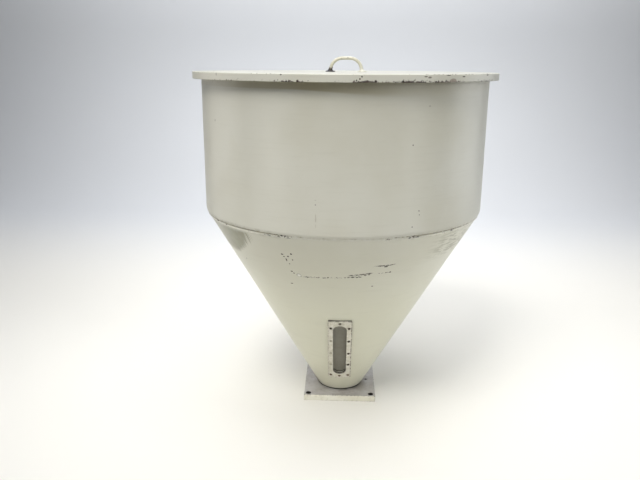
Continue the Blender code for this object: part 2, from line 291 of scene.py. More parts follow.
def cone_wobble(a, r, z):
    f = smoothstep(0.015, 0.09, z) * win_fade(a, z)
    w = sheet_wave(a, z) * f
    return w * cos(SLOPE), -w * sin(SLOPE)


def seam_wobble(a, r, z):
    # the bead is proud at the sides and ground flush at the front
    n = 0.16 * sin(71 * a + PH[10]) + 0.14 * sin(113 * a + PH[11]) \
        + 0.10 * sin(190 * a + 5 * sin(13 * a) + PH[12])
    d = abs((a + pi) % (2 * pi) - pi)
    proud = 0.30 + 0.70 * smoothstep(0.12, 0.55, d)
    mid = exp(-((z - (SEAM_Z - 0.0022)) / 0.0016) ** 2)
    low = -0.0008 * (1 - proud) * mid
    w = sheet_wave(a, z) + low + 0.001 * n * mid * proud
    return w * cos(SLOPE), -w * sin(SLOPE) + 0.0003 * sin(29 * a + PH[13]) * mid


# ---- barrel
e = 0.0003
KNEE_TOP = KNEE_Z + KNEE_R * tan(SLOPE / 2)
LIP_Z = SEAM_Z + BEAD_H / 2 + GAP
IN = SHEET / cos(SLOPE)


def knee(radius):
    """Points round the turn from the upright wall to the cone's slope."""
    return [(BARREL_R - KNEE_R + radius * cos(SLOPE * i / 8),
             KNEE_TOP - radius * sin(SLOPE * i / 8)) for i in range(9)]


prof = [(BARREL_R - e, RIM_Z), (BARREL_R, RIM_Z - e)]
prof += line((BARREL_R, RIM_Z - 0.004), (BARREL_R, KNEE_TOP), 44)
prof += knee(KNEE_R)
prof += [(cone_r(LIP_Z + 0.0003), LIP_Z + 0.0003), (cone_r(LIP_Z) - 0.0003, LIP_Z - 0.0001),
         (cone_r(LIP_Z) - IN, LIP_Z)]
prof += knee(KNEE_R - SHEET)[::-1]
prof += line((BARREL_R - SHEET, KNEE_TOP + 0.004), (BARREL_R - SHEET, RIM_Z - e), 16)
prof += [(BARREL_R - SHEET, RIM_Z - e), (BARREL_R - SHEET + e, RIM_Z)]
barrel = finish_mesh(lathe("barrel", prof, 288, barrel_wobble), 40)

# ---- cone
CT, CB = SEAM_Z - BEAD_H / 2, PLATE_T + GAP
prof = line((cone_r(CT), CT), (cone_r(CB), CB), 66)
prof += [(cone_r(CB), CB)]
prof += line((cone_r(CB) - IN, CB), (cone_r(CT) - IN, CT), 26)
prof += [(cone_r(CT) - IN, CT)]
cone = lathe("cone", prof, 288, cone_wobble)


def tilted(tool_pts, z0, z1, s0):
    """A prism that stands square to the slope at the front."""
    o = prism("t", [(x, y - s0) for x, y in tool_pts], z0, z1)
    p, out, up = cone_point(s0)
    side = up.cross(out)
    m = Matrix((side, up, out)).transposed().to_4x4()
    m.translation = p
    o.matrix_world = m
    bpy.context.view_layer.update()
    return o


tools = [tilted(outline(SLOT_W, SLOT_H, SLOT_W / 2, 12, WIN_X, SLOT_S), -0.03, 0.03, SLOT_S)]
for s, x in SCREWS:
    p, out, up = cone_point(s, x)
    o = prism("t", [(SCREW_HOLE_R * cos(2 * pi * i / 16), SCREW_HOLE_R * sin(2 * pi * i / 16))
                    for i in range(16)], -0.012, 0.012)
    m = Matrix((up.cross(out), up, out)).transposed().to_4x4()
    m.translation = p
    o.matrix_world = m
    tools.append(o)
bpy.context.view_layer.update()
finish_mesh(boolean(cone, join("tools", tools)), 40)

# ---- round weld under the barrel's turned-in edge: a groove, then the bead
def on_slope(z, out):
    """A point out from the cone's slope."""
    return cone_r(z) + out * cos(SLOPE), z - out * sin(SLOPE)


prof = [on_slope(LIP_Z + 0.0004, -0.0007), on_slope(LIP_Z - 0.0004, -0.0006),
        on_slope(LIP_Z - 0.0010, -0.0006), on_slope(LIP_Z - 0.0016, -0.0003),
        on_slope(LIP_Z - 0.0022, 0.0003), on_slope(LIP_Z - 0.0028, 0.0007),
        on_slope(LIP_Z - 0.0036, 0.0009), on_slope(LIP_Z - 0.0044, 0.0008),
        on_slope(LIP_Z - 0.0052, 0.0004), on_slope(LIP_Z - 0.0058, 0.0000),
        on_slope(LIP_Z - 0.0062, -0.0004), on_slope(LIP_Z - 0.0058, -SHEET - 0.0002),
        on_slope(LIP_Z - 0.0030, -SHEET - 0.0006), on_slope(LIP_Z + 0.0004, -SHEET - 0.0002)]
seam = finish_mesh(lathe("seam_bead", prof, 720, seam_wobble), 60)

# ---- flange
f = 0.0005
prof = [(FLANGE_OUT - f, RIM_Z), (FLANGE_OUT - 0.0001, RIM_Z - 0.0002),
        (FLANGE_OUT, RIM_Z - f), (FLANGE_OUT, RIM_Z - FLANGE_T + f),
        (FLANGE_OUT - f, RIM_Z - FLANGE_T), (BARREL_R + 0.0030, RIM_Z - FLANGE_T),
        (BARREL_R + 0.0016, RIM_Z - FLANGE_T - 0.0009),
        (BARREL_R + 0.0002, RIM_Z - FLANGE_T - 0.0030),
        (BARREL_R - 0.0004, RIM_Z - FLANGE_T - 0.0030), (BARREL_R - 0.0004, RIM_Z)]


def flange_wobble(a, r, z):
    if r < BARREL_R + 0.0029 and z < RIM_Z - FLANGE_T - 0.0001:
        k = 0.25 * sin(151 * a + 3 * sin(7 * a)) + 0.2 * sin(67 * a + PH[14])
        return 0.001 * k, 0.0006 * k
    return 0.0, 0.0


flange = finish_mesh(lathe("mouth_flange", prof, 576, flange_wobble), 50)


# ---- lid
def band_wobble(a, r, z):
    low = smoothstep(LID_Z - 0.004, LID_Z - BAND_H, z)
    d = 0.20 * sin(3 * a + PH[15]) + 0.12 * sin(8 * a + PH[16]) + 0.06 * sin(19 * a + PH[17])
    nick = -0.35 * exp(-((a - 0.10) / 0.006) ** 2) - 0.5 * exp(-((a - 5.62) / 0.008) ** 2) \
        - 0.4 * exp(-((a - 2.4) / 0.01) ** 2)
    return -0.0001 - 0.00018 * abs(sin(5 * a + PH[18])) * low, 0.001 * (d * 0.5 - nick) * low


b = 0.0014
prof = [(LID_R - BAND_T + 0.0003, LID_Z)]
prof += arc(LID_R - b, LID_Z - b, b, pi / 2, 0, 6)
prof += [(LID_R, LID_Z - b - 0.0002)]
prof += line((LID_R, LID_Z - b - 0.0010), (LID_R, LID_Z - BAND_H + 0.0008), 5)
prof += [(LID_R, LID_Z - BAND_H + 0.0008)]
prof += arc(LID_R - 0.0006, LID_Z - BAND_H + 0.0006, 0.0006, 0, -pi / 2, 4)
prof += [(LID_R - BAND_T + 0.0004, LID_Z - BAND_H), (LID_R - BAND_T, LID_Z - BAND_H + 0.0004)]
prof += line((LID_R - BAND_T, LID_Z - BAND_H + 0.002), (LID_R - BAND_T, LID_Z - 0.0003), 4)
prof += [(LID_R - BAND_T, LID_Z - 0.0003)]
band = finish_mesh(lathe("lid_rim", prof, 480, band_wobble), 50)


def lid_wobble(a, r, z):
    k = r / LID_R
    d = -0.35 * k ** 2 * (0.5 + 0.5 * sin(2 * a + PH[19])) + 0.22 * sin(3 * a + 5 * k) * k ** 2 \
        - 0.25 * exp(-(((k - 0.55) * 3.2) ** 2 + ((a - 2.1) * 2.4) ** 2)) \
        - 0.22 * exp(-(((k - 0.68) * 4) ** 2 + ((a - 4.6) * 3) ** 2))
    edge = smoothstep(1.0, 0.93, k * LID_R / (LID_R - BAND_T)) if k < 0.99 else 0.0
    foot = smoothstep(0.05, 0.12, r)
    return 0.0, 0.001 * d * edge * foot


DR = LID_R - BAND_T - 0.00005
prof = [(0.0, LID_Z)]
prof += line((0.008, LID_Z), (DR - 0.0008, LID_Z), 34)
prof += arc(DR - 0.0006, LID_Z - 0.0006, 0.0006, pi / 2, 0, 4)
prof += [(DR, LID_Z - LID_SHEET)]
prof += line((DR - 0.004, LID_Z - LID_SHEET), (0.008, LID_Z - LID_SHEET), 20)
prof += [(0.0, LID_Z - LID_SHEET)]
lid = finish_mesh(lathe("lid_disc", prof, 288, lid_wobble), 50)

# ---- handle
curve = bpy.data.curves.new("handle_rod", "CURVE")
curve.dimensions = "3D"
curve.bevel_depth = ROD_R
curve.bevel_resolution = 7
curve.use_fill_caps = True
top, foot = HANDLE_TOP - ROD_R - 0.00003, LID_Z + GAP
leg = top - HANDLE_BEND * (1 - sin(LEAN)) - foot - STUB
middle = -HANDLE_HALF + leg * tan(LEAN) + HANDLE_BEND * cos(LEAN)
pts = [(-HANDLE_HALF, foot), (-HANDLE_HALF, foot + STUB * 0.8)]
pts += [(-HANDLE_HALF + leg * tan(LEAN) * k, foot + STUB + leg * k) for k in (0.15, 0.5, 0.8)]
for i in range(19):
    a = pi - LEAN - (pi / 2 - LEAN) * i / 18
    pts.append((middle + HANDLE_BEND * cos(a), top - HANDLE_BEND + HANDLE_BEND * sin(a)))
pts += [(middle * 0.6, top), (middle * 0.2, top)]
pts += [(-x, z) for x, z in reversed(pts)]
sp = curve.splines.new("POLY")
sp.points.add(len(pts) - 1)
for q, (x, z) in zip(sp.points, pts):
    # the rod isn't bent quite true
    q.co = (HANDLE_X + x, 0.0004 * sin(60 * x), z, 1)
rod = bpy.data.objects.new("handle_rod", curve)
bpy.context.scene.collection.objects.link(rod)
bpy.context.view_layer.update()
mesh = bpy.data.meshes.new_from_object(rod.evaluated_get(bpy.context.evaluated_depsgraph_get()))
bpy.data.objects.remove(rod)
rod = bpy.data.objects.new("handle_rod", mesh)
bpy.context.scene.collection.objects.link(rod)
bm = bmesh.new()
bm.from_mesh(mesh)
bmesh.ops.remove_doubles(bm, verts=bm.verts, dist=0.00002)
bm.to_mesh(mesh)
bm.free()
finish_mesh(rod, 40)


def foot_piece(name, side, seed, spread):
    """A fillet weld round a leg, leaning with it: a flat spread foot and a
    hollow-flanked cone."""
    ph = np.random.default_rng(seed).uniform(0, 2 * pi, 8)

    def wob(a, r, z):
        if r < ROD_R + 0.0001:
            return 0.0, 0.0
        k = smoothstep(ROD_R + 0.002, BOSS_R, r)
        n = 0.5 * sin(3 * a + ph[0]) + 0.35 * sin(7 * a + ph[1]) + 0.25 * sin(13 * a + ph[2])
        q = 0.10 * sin(9 * a + 900 * z + ph[3]) + 0.06 * sin(23 * a + ph[4])
        s = spread * k * max(0.0, -side * sin(a)) ** 2 if side < 0 else 0.0
        return -0.00050 * abs(n) * k + 0.001 * q * (1 - k) + s, 0.0
    prof = [(ROD_R + 0.0003, BOSS_H)]
    for i in range(1, 12):
        t = i / 12
        prof.append((ROD_R + 0.0003 + 0.0021 * t ** 3.4, BOSS_H + (BOSS_T - BOSS_H) * t))
    for i in range(1, 9):
        t = i / 9
        prof.append((ROD_R + 0.0025 + (BOSS_R - ROD_R - 0.0031) * t,
                     BOSS_T - 0.0005 * t ** 0.7))
    prof += [(BOSS_R - 0.0002, BOSS_T * 0.45), (BOSS_R, BOSS_T * 0.25), (BOSS_R - 0.0002, 0.0),
             (ROD_R - 0.0002, 0.0), (ROD_R - 0.0002, STUB), (ROD_R - 0.0002, BOSS_H)]
    o = lathe(name, prof, 56, wob)
    for v in o.data.vertices:
        v.co.x += HANDLE_X + side * HANDLE_HALF - side * tan(LEAN) * max(0.0, v.co.z - STUB)
        v.co.z += LID_Z + 0.0002
    return finish_mesh(o, 60)


foot_l = foot_piece("leg_weld_left", -1, 3, 0.0012)
foot_r = foot_piece("leg_weld_right", 1, 11, 0.0)

# ---- sight window
g_lift = GAP
gasket = strip("window_gasket", WIN_W, WIN_H, g_lift - 0.0002, g_lift + GASKET_T + 0.0002, 0.0018)
wrap(gasket, lambda x, s: 0.0)
finish_mesh(gasket, 40)

plate_lift = 2 * GAP + GASKET_T
window = strip("window_plate", WIN_W, WIN_H, plate_lift, plate_lift + FRAME_T, 0.0018)
bevel(window, 0.00028, 2, 50)


def bowed(x, s):
    """The thin plate is drawn down at its screws and stands off between them."""
    near = min(hypot((x - sx), (s - ss)) for ss, sx in SCREWS)
    edge = abs(x - WIN_X) / (WIN_W / 2)
    return 0.00022 * smoothstep(0.004, 0.018, near) * edge


wrap(window, bowed)
finish_mesh(window, 35)

pane = strip("window_pane", PANE_W, PANE_H, -SHEET - GAP - PANE_T, -SHEET - GAP, 0.0018,
             with_slot=False, corner=0.004)
wrap(pane)
finish_mesh(pane, 35)

# ---- screws and their nuts
HEAD_SEAT = FRAME_LIFT + 0.0001
NUT_SEAT = -SHEET - GAP - PANE_T - 0.0002


def screw_mesh():
    prof = [(0.0, HEAD_SEAT + HEAD_H)]
    for i in range(1, 9):
        t = i / 8 * pi / 2
        prof.append((HEAD_R * sin(t), HEAD_SEAT + HEAD_H * (0.22 + 0.78 * cos(t) ** 0.8)))
    prof += [(HEAD_R, HEAD_SEAT + 0.0001), (HEAD_R - 0.0002, HEAD_SEAT),
             (SCREW_R, HEAD_SEAT)]
    z = HEAD_SEAT - 0.0002
    low = NUT_SEAT - NUT_H - 0.0010
    n = int((z - low) / 0.00025)
    for i in range(n):        # rolled thread, as rings
        prof.append((SCREW_R - (0.00018 if i % 2 else 0.0), z - i * 0.00025))
    prof += [(SCREW_R - 0.0003, low), (0.0, low)]
    o = lathe("screw", prof, 32)
    slot = prism("t", [(-0.0032, -0.00032), (0.0032, -0.00032), (0.0032, 0.00032),
                       (-0.0032, 0.00032)], HEAD_SEAT + HEAD_H - 0.00075,
                 HEAD_SEAT + HEAD_H + 0.001)
    boolean(o, slot)
    ring = [(NUT_R * cos(pi / 3 * i), NUT_R * sin(pi / 3 * i)) for i in range(6)]
    nut = prism("t", ring, NUT_SEAT - NUT_H, NUT_SEAT)
    bevel(nut, 0.00025, 2, 20)
    boolean(o, nut, "UNION")
    finish_mesh(o, 35)
    mesh = o.data
    bpy.data.objects.remove(o)
    return mesh


SCREW_MESH = screw_mesh()
screws = []
for i, (s, x) in enumerate(SCREWS, 1):
    p, out, up = cone_point(s, x)
    m = (Matrix((up.cross(out), up, out)).transposed()
         @ Matrix.Rotation(radians((17, 95, 62, 140, 8, 121, 77, 33, 154, 101, 49, 12)[i - 1]),
                           3, "Z")).to_4x4()
    m.translation = p
    mesh = SCREW_MESH.copy()
    mesh.transform(m)
    o = bpy.data.objects.new("window_screw_%02d" % i, mesh)
    bpy.context.scene.collection.objects.link(o)
    screws.append(o)

# ---- base plate
base = prism("foot_plate", outline(PLATE, PLATE, 0.0012, 3), 0.0, PLATE_T)
tools = []
for x, y, r, n in [(0, 0, BORE_R, 128), (TAP_X, 0, TAP_R, 32)] + [
        (i * BOLT_PITCH / 2, j * BOLT_PITCH / 2, BOLT_R, 48) for i in (-1, 1) for j in (-1, 1)]:
    tools.append(prism("t", [(x + r * cos(2 * pi * i / n), y + r * sin(2 * pi * i / n))
                             for i in range(n)], -0.01, PLATE_T + 0.01))
boolean(base, join("tools", tools))
bevel(base, 0.00055, 3, 50)
finish_mesh(base, 40)


# ---- fillet weld inside the outlet
def fillet_wobble(a, r, z):
    k = smoothstep(PLATE_T + 0.0004, PLATE_T + 0.002, z)
    n = 0.5 + 0.5 * cos(2 * pi * ((a * 0.045 / 0.0016) % 1.0))
    return -0.00035 * n * k, 0.0002 * n * k


ri = FOOT_R - SHEET / cos(SLOPE)
prof = [(ri + 0.0016, PLATE_T + 0.0042), (ri - 0.0002, PLATE_T + GAP + 0.0001),
        (ri - 0.0038, PLATE_T + 0.0002), (ri - 0.0034, PLATE_T + 0.0009),
        (ri - 0.0022, PLATE_T + 0.0019), (ri - 0.0008, PLATE_T + 0.0030),
        (ri + 0.0010, PLATE_T + 0.0042)]
fillet = finish_mesh(lathe("outlet_fillet", prof, 480, fillet_wobble), 60)


# ---- upright welds at the back, laid as a row of ripples
def ripple_bead(name, place, length, width, height, seed, skin):
    """A weld bead along a line. place(u, v, h) gives the point u along, v across
    and h above the sheet."""
    g = np.random.default_rng(seed)
    ph = g.uniform(0, 2 * pi, 6)
    n, m = int(length / 0.0006), 10
    verts, faces = [], []
    for i in range(n + 1):
        u = length * i / n
        wig = 0.0003 * sin(41 * u + ph[0]) + 0.0002 * sin(97 * u + ph[1])
        w = width / 2 * (1 + 0.10 * sin(173 * u + ph[2]) + 0.06 * sin(311 * u + ph[3]))
        end = smoothstep(0.0, 0.002, u) * smoothstep(0.0, 0.002, length - u)
        for j in range(m + 1):
            t = -1 + 2 * j / m
            back = 0.0013 * t * t
            rip = 0.5 + 0.5 * cos(2 * pi * (u + back) / 0.0021 + 0.6 * sin(60 * u))
            h = height * sqrt(max(0.0, 1 - t * t)) * (0.74 + 0.26 * rip) * (0.25 + 0.75 * end)
            verts.append(place(u, t * w + wig, h - 0.00005))
        for j in (m, 0):
            verts.append(place(u, (1 if j else -1) * w * 0.98 + wig, -skin))
    k = m + 3
    for i in range(n):
        for j in range(m):
            a = i * k + j
            faces.append([a, a + 1, a + 1 + k, a + k])
        a = i * k
        faces.append([a + m, a + m + 1, a + m + 1 + k, a + m + k])
        faces.append([a + m + 1, a + m + 2, a + m + 2 + k, a + m + 1 + k])
        faces.append([a + m + 2, a, a + k, a + m + 2 + k])
    faces.append(list(range(k))[::-1])
    faces.append(list(range(n * k, n * k + k)))
    o = obj_from(name, verts, faces)
    bm = bmesh.new()
    bm.from_mesh(o.data)
    bmesh.ops.recalc_face_normals(bm, faces=bm.faces)
    bm.to_mesh(o.data)
    bm.free()
    return finish_mesh(o, 50)


BEAD_LOW = KNEE_TOP + 0.0005


def on_barrel(u, v, h):
    z = BEAD_LOW + u
    r = BARREL_R + h + barrel_wobble(pi, BARREL_R, z)[0]
    a = v / BARREL_R
    return (r * sin(a), r * cos(a), z)


def on_cone_back(u, v, h):
    s = 0.004 + u
    r0 = FOOT_R + s * sin(SLOPE)
    z = PLATE_T + s * cos(SLOPE)
    dr, dz = cone_wobble(pi, r0, z)
    a = v / r0
    r = r0 + dr + h * cos(SLOPE)
    return (r * sin(a), r * cos(a), z + dz - h * sin(SLOPE))


bead_barrel = ripple_bead("barrel_seam_bead", on_barrel, RIM_Z - FLANGE_T - 0.0035 - BEAD_LOW,
                          0.0044, 0.0009, 5, 0.0006)
bead_cone = ripple_bead("cone_seam_bead", on_cone_back, (SEAM_Z - PLATE_T) / cos(SLOPE) - 0.0095,
                        0.0044, 0.0009, 6, 0.0006)

# ------------------------------------------------------------------ ride
HOPPER, LID = "hopper", "lid"
for o, nodes, slot in (
        (barrel, ["barrel_shell"], "hopper_enamel"), (cone, ["cone_shell"], "hopper_enamel"),
        (seam, ["seam_weld"], "weld"), (flange, ["top_flange"], "rim_enamel"),
        (gasket, ["sight_gasket"], "gasket"), (window, ["sight_frame"], "window_frame"),
        (pane, ["sight_pane"], "pane"), (base, ["base_plate"], "machined_plate"),
        (fillet, ["outlet_weld"], "weld"), (bead_barrel, ["barrel_back_weld"], "weld"),
        (bead_cone, ["cone_back_weld"], "weld")):
    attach(o, HOPPER)
    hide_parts(*nodes)
for i, o in enumerate(screws, 1):
    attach(o, HOPPER)
    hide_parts("sight_screw_%02d" % i)
for o, nodes, slot in (
        (band, ["lid_band"], "lid_enamel"), (lid, ["lid_top"], "lid_enamel"),
        (rod, ["lid_handle"], "handle_enamel"), (foot_l, ["handle_foot_left"], "burnt_weld"),
        (foot_r, ["handle_foot_right"], "handle_enamel")):
    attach(o, LID)
    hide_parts(*nodes)


# ------------------------------------------------------------------ shaders
def lin(r, g, b):
    """8-bit display colour to scene colour."""
    return tuple(((c / 255) / 12.92 if c / 255 <= 0.04045 else ((c / 255 + 0.055) / 1.055) ** 2.4)
                 for c in (r, g, b)) + (1.0,)


class Shade:
    def __init__(self, name):
        self.mat = bpy.data.materials.new(name)
        self.mat.use_nodes = True
        self.t = self.mat.node_tree
        self.t.nodes.clear()
        self.out = self.t.nodes.new("ShaderNodeOutputMaterial")
        self.bsdf = self.t.nodes.new("ShaderNodeBsdfPrincipled")
        self.t.links.new(self.bsdf.outputs[0], self.out.inputs[0])
        self.co = self.node("ShaderNodeTexCoord").outputs["Object"]
        self.xyz = None

    def node(self, kind, **props):
        n = self.t.nodes.new(kind)
        for k, v in props.items():
            setattr(n, k, v)
        return n

    def put(self, socket, value):
        if hasattr(value, "is_output"):
            self.t.links.new(value, socket)
        elif value is not None:
            socket.default_value = value

    def set(self, **values):
        for k, v in values.items():
            self.put(self.bsdf.inputs[k.replace("_", " ")], v)

    def math(self, op, a, b=None, c=None, clamp=False):
        n = self.node("ShaderNodeMath", operation=op, use_clamp=clamp)
        for s, v in zip(n.inputs, (a, b, c)):
            self.put(s, v)
        return n.outputs[0]

    def add(self, *v):
        r = v[0]
        for x in v[1:]:
            r = self.math("ADD", r, x)
        return r

    def mul(self, *v):
        r = v[0]
        for x in v[1:]:
            r = self.math("MULTIPLY", r, x)
        return r

    def sub(self, a, b):
        return self.math("SUBTRACT", a, b)

    def top(self, *v):
        r = v[0]
        for x in v[1:]:
            r = self.math("MAXIMUM", r, x)
        return r

    def ease(self, v, a, b, lo=0.0, hi=1.0):
        n = self.node("ShaderNodeMapRange", interpolation_type="SMOOTHSTEP", clamp=True)
        for s, x in zip(n.inputs, (v, a, b, lo, hi)):
            self.put(s, x)
        return n.outputs[0]

    def rescale(self, v, a, b, lo, hi):
        n = self.node("ShaderNodeMapRange", interpolation_type="LINEAR", clamp=True)
        for s, x in zip(n.inputs, (v, a, b, lo, hi)):
            self.put(s, x)
        return n.outputs[0]

    def mix(self, f, a, b, blend="MIX"):
        n = self.node("ShaderNodeMix", data_type="RGBA", blend_type=blend)
        self.put(n.inputs[0], f)
        self.put(n.inputs[6], a)
        self.put(n.inputs[7], b)
        return n.outputs[2]

    def mix_value(self, f, a, b):
        n = self.node("ShaderNodeMix", data_type="FLOAT")
        self.put(n.inputs[0], f)
        self.put(n.inputs[2], a)
        self.put(n.inputs[3], b)
        return n.outputs[0]

    def parts(self):
        if self.xyz is None:
            n = self.node("ShaderNodeSeparateXYZ")
            self.put(n.inputs[0], self.co)
            self.xyz = n.outputs[0], n.outputs[1], n.outputs[2]
        return self.xyz

    def vec(self, x, y, z=0.0):
        n = self.node("ShaderNodeCombineXYZ")
        for s, v in zip(n.inputs, (x, y, z)):
            self.put(s, v)
        return n.outputs[0]

    def scaled(self, x, y, z):
        n = self.node("ShaderNodeVectorMath", operation="MULTIPLY")
        self.put(n.inputs[0], self.co)
        n.inputs[1].default_value = (x, y, z)
        return n.outputs[0]

    def angle(self):
        """Angle from the front, to the right positive, in radians."""
        x, y, z = self.parts()
        return self.math("ARCTAN2", x, self.math("MULTIPLY", y, -1.0))

    def noise(self, scale, detail=3.0, rough=0.55, vec=None, warp=0.0):
        n = self.node("ShaderNodeTexNoise", noise_dimensions="3D", normalize=True)
        self.put(n.inputs["Vector"], self.co if vec is None else vec)
        n.inputs["Scale"].default_value = scale
        n.inputs["Detail"].default_value = detail
        n.inputs["Roughness"].default_value = rough
        n.inputs["Distortion"].default_value = warp
        return n.outputs[0]

    def cells(self, scale, vec=None, feature="F1", jitter=1.0):
        n = self.node("ShaderNodeTexVoronoi", feature=feature)
        self.put(n.inputs["Vector"], self.co if vec is None else vec)
        n.inputs["Scale"].default_value = scale
        n.inputs["Randomness"].default_value = jitter
        return n

    def ramp(self, f, stops, mode="LINEAR"):
        n = self.node("ShaderNodeValToRGB")
        n.color_ramp.interpolation = mode
        e = n.color_ramp.elements
        while len(e) < len(stops):
            e.new(0.5)
        for x, (p, c) in zip(e, stops):
            x.position = p
            x.color = c if hasattr(c, "__len__") else (c, c, c, 1)
        self.put(n.inputs[0], f)
        return n.outputs[0]

    def bump(self, height, dist, strength=1.0, normal=None):
        n = self.node("ShaderNodeBump")
        self.put(n.inputs["Height"], height)
        n.inputs["Distance"].default_value = dist
        n.inputs["Strength"].default_value = strength
        if normal is not None:
            self.put(n.inputs["Normal"], normal)
        return n.outputs[0]

    def span(self, a, lo, hi, soft=2.0):
        """1 between two angles in degrees, easing in and out."""
        return self.mul(self.ease(a, radians(lo - soft), radians(lo)),
                        self.ease(a, radians(hi + soft), radians(hi)))

    def spot(self, a, z, a0, z0, ra, rz, rag):
        """1 inside an uneven ellipse at a0 degrees and z0 metres; ra, rz metres."""
        R = BARREL_R if z0 > KNEE_TOP else cone_r(z0)
        if z0 > 0.66:
            R = LID_R
        da = self.math("MULTIPLY", self.math("SUBTRACT", a, radians(a0)), R / ra)
        dz = self.math("MULTIPLY", self.math("SUBTRACT", z, z0), 1 / rz)
        d = self.add(self.mul(da, da), self.mul(dz, dz), rag)
        return self.ease(d, 1.15, 0.75)


CREAM_A = lin(199, 198, 187)
CREAM_B = lin(192, 190, 176)
CREAM_C = lin(207, 207, 198)
RUST = lin(60, 41, 32)
RUST_DARK = lin(32, 24, 20)
# colour of the painted reflections on the cone's shoulders
SHOULDER_REFLECTION = lin(112, 110, 84)
STEEL = lin(118, 112, 106)
GRIME = lin(116, 108, 84)
PRIMER = lin(150, 141, 130)


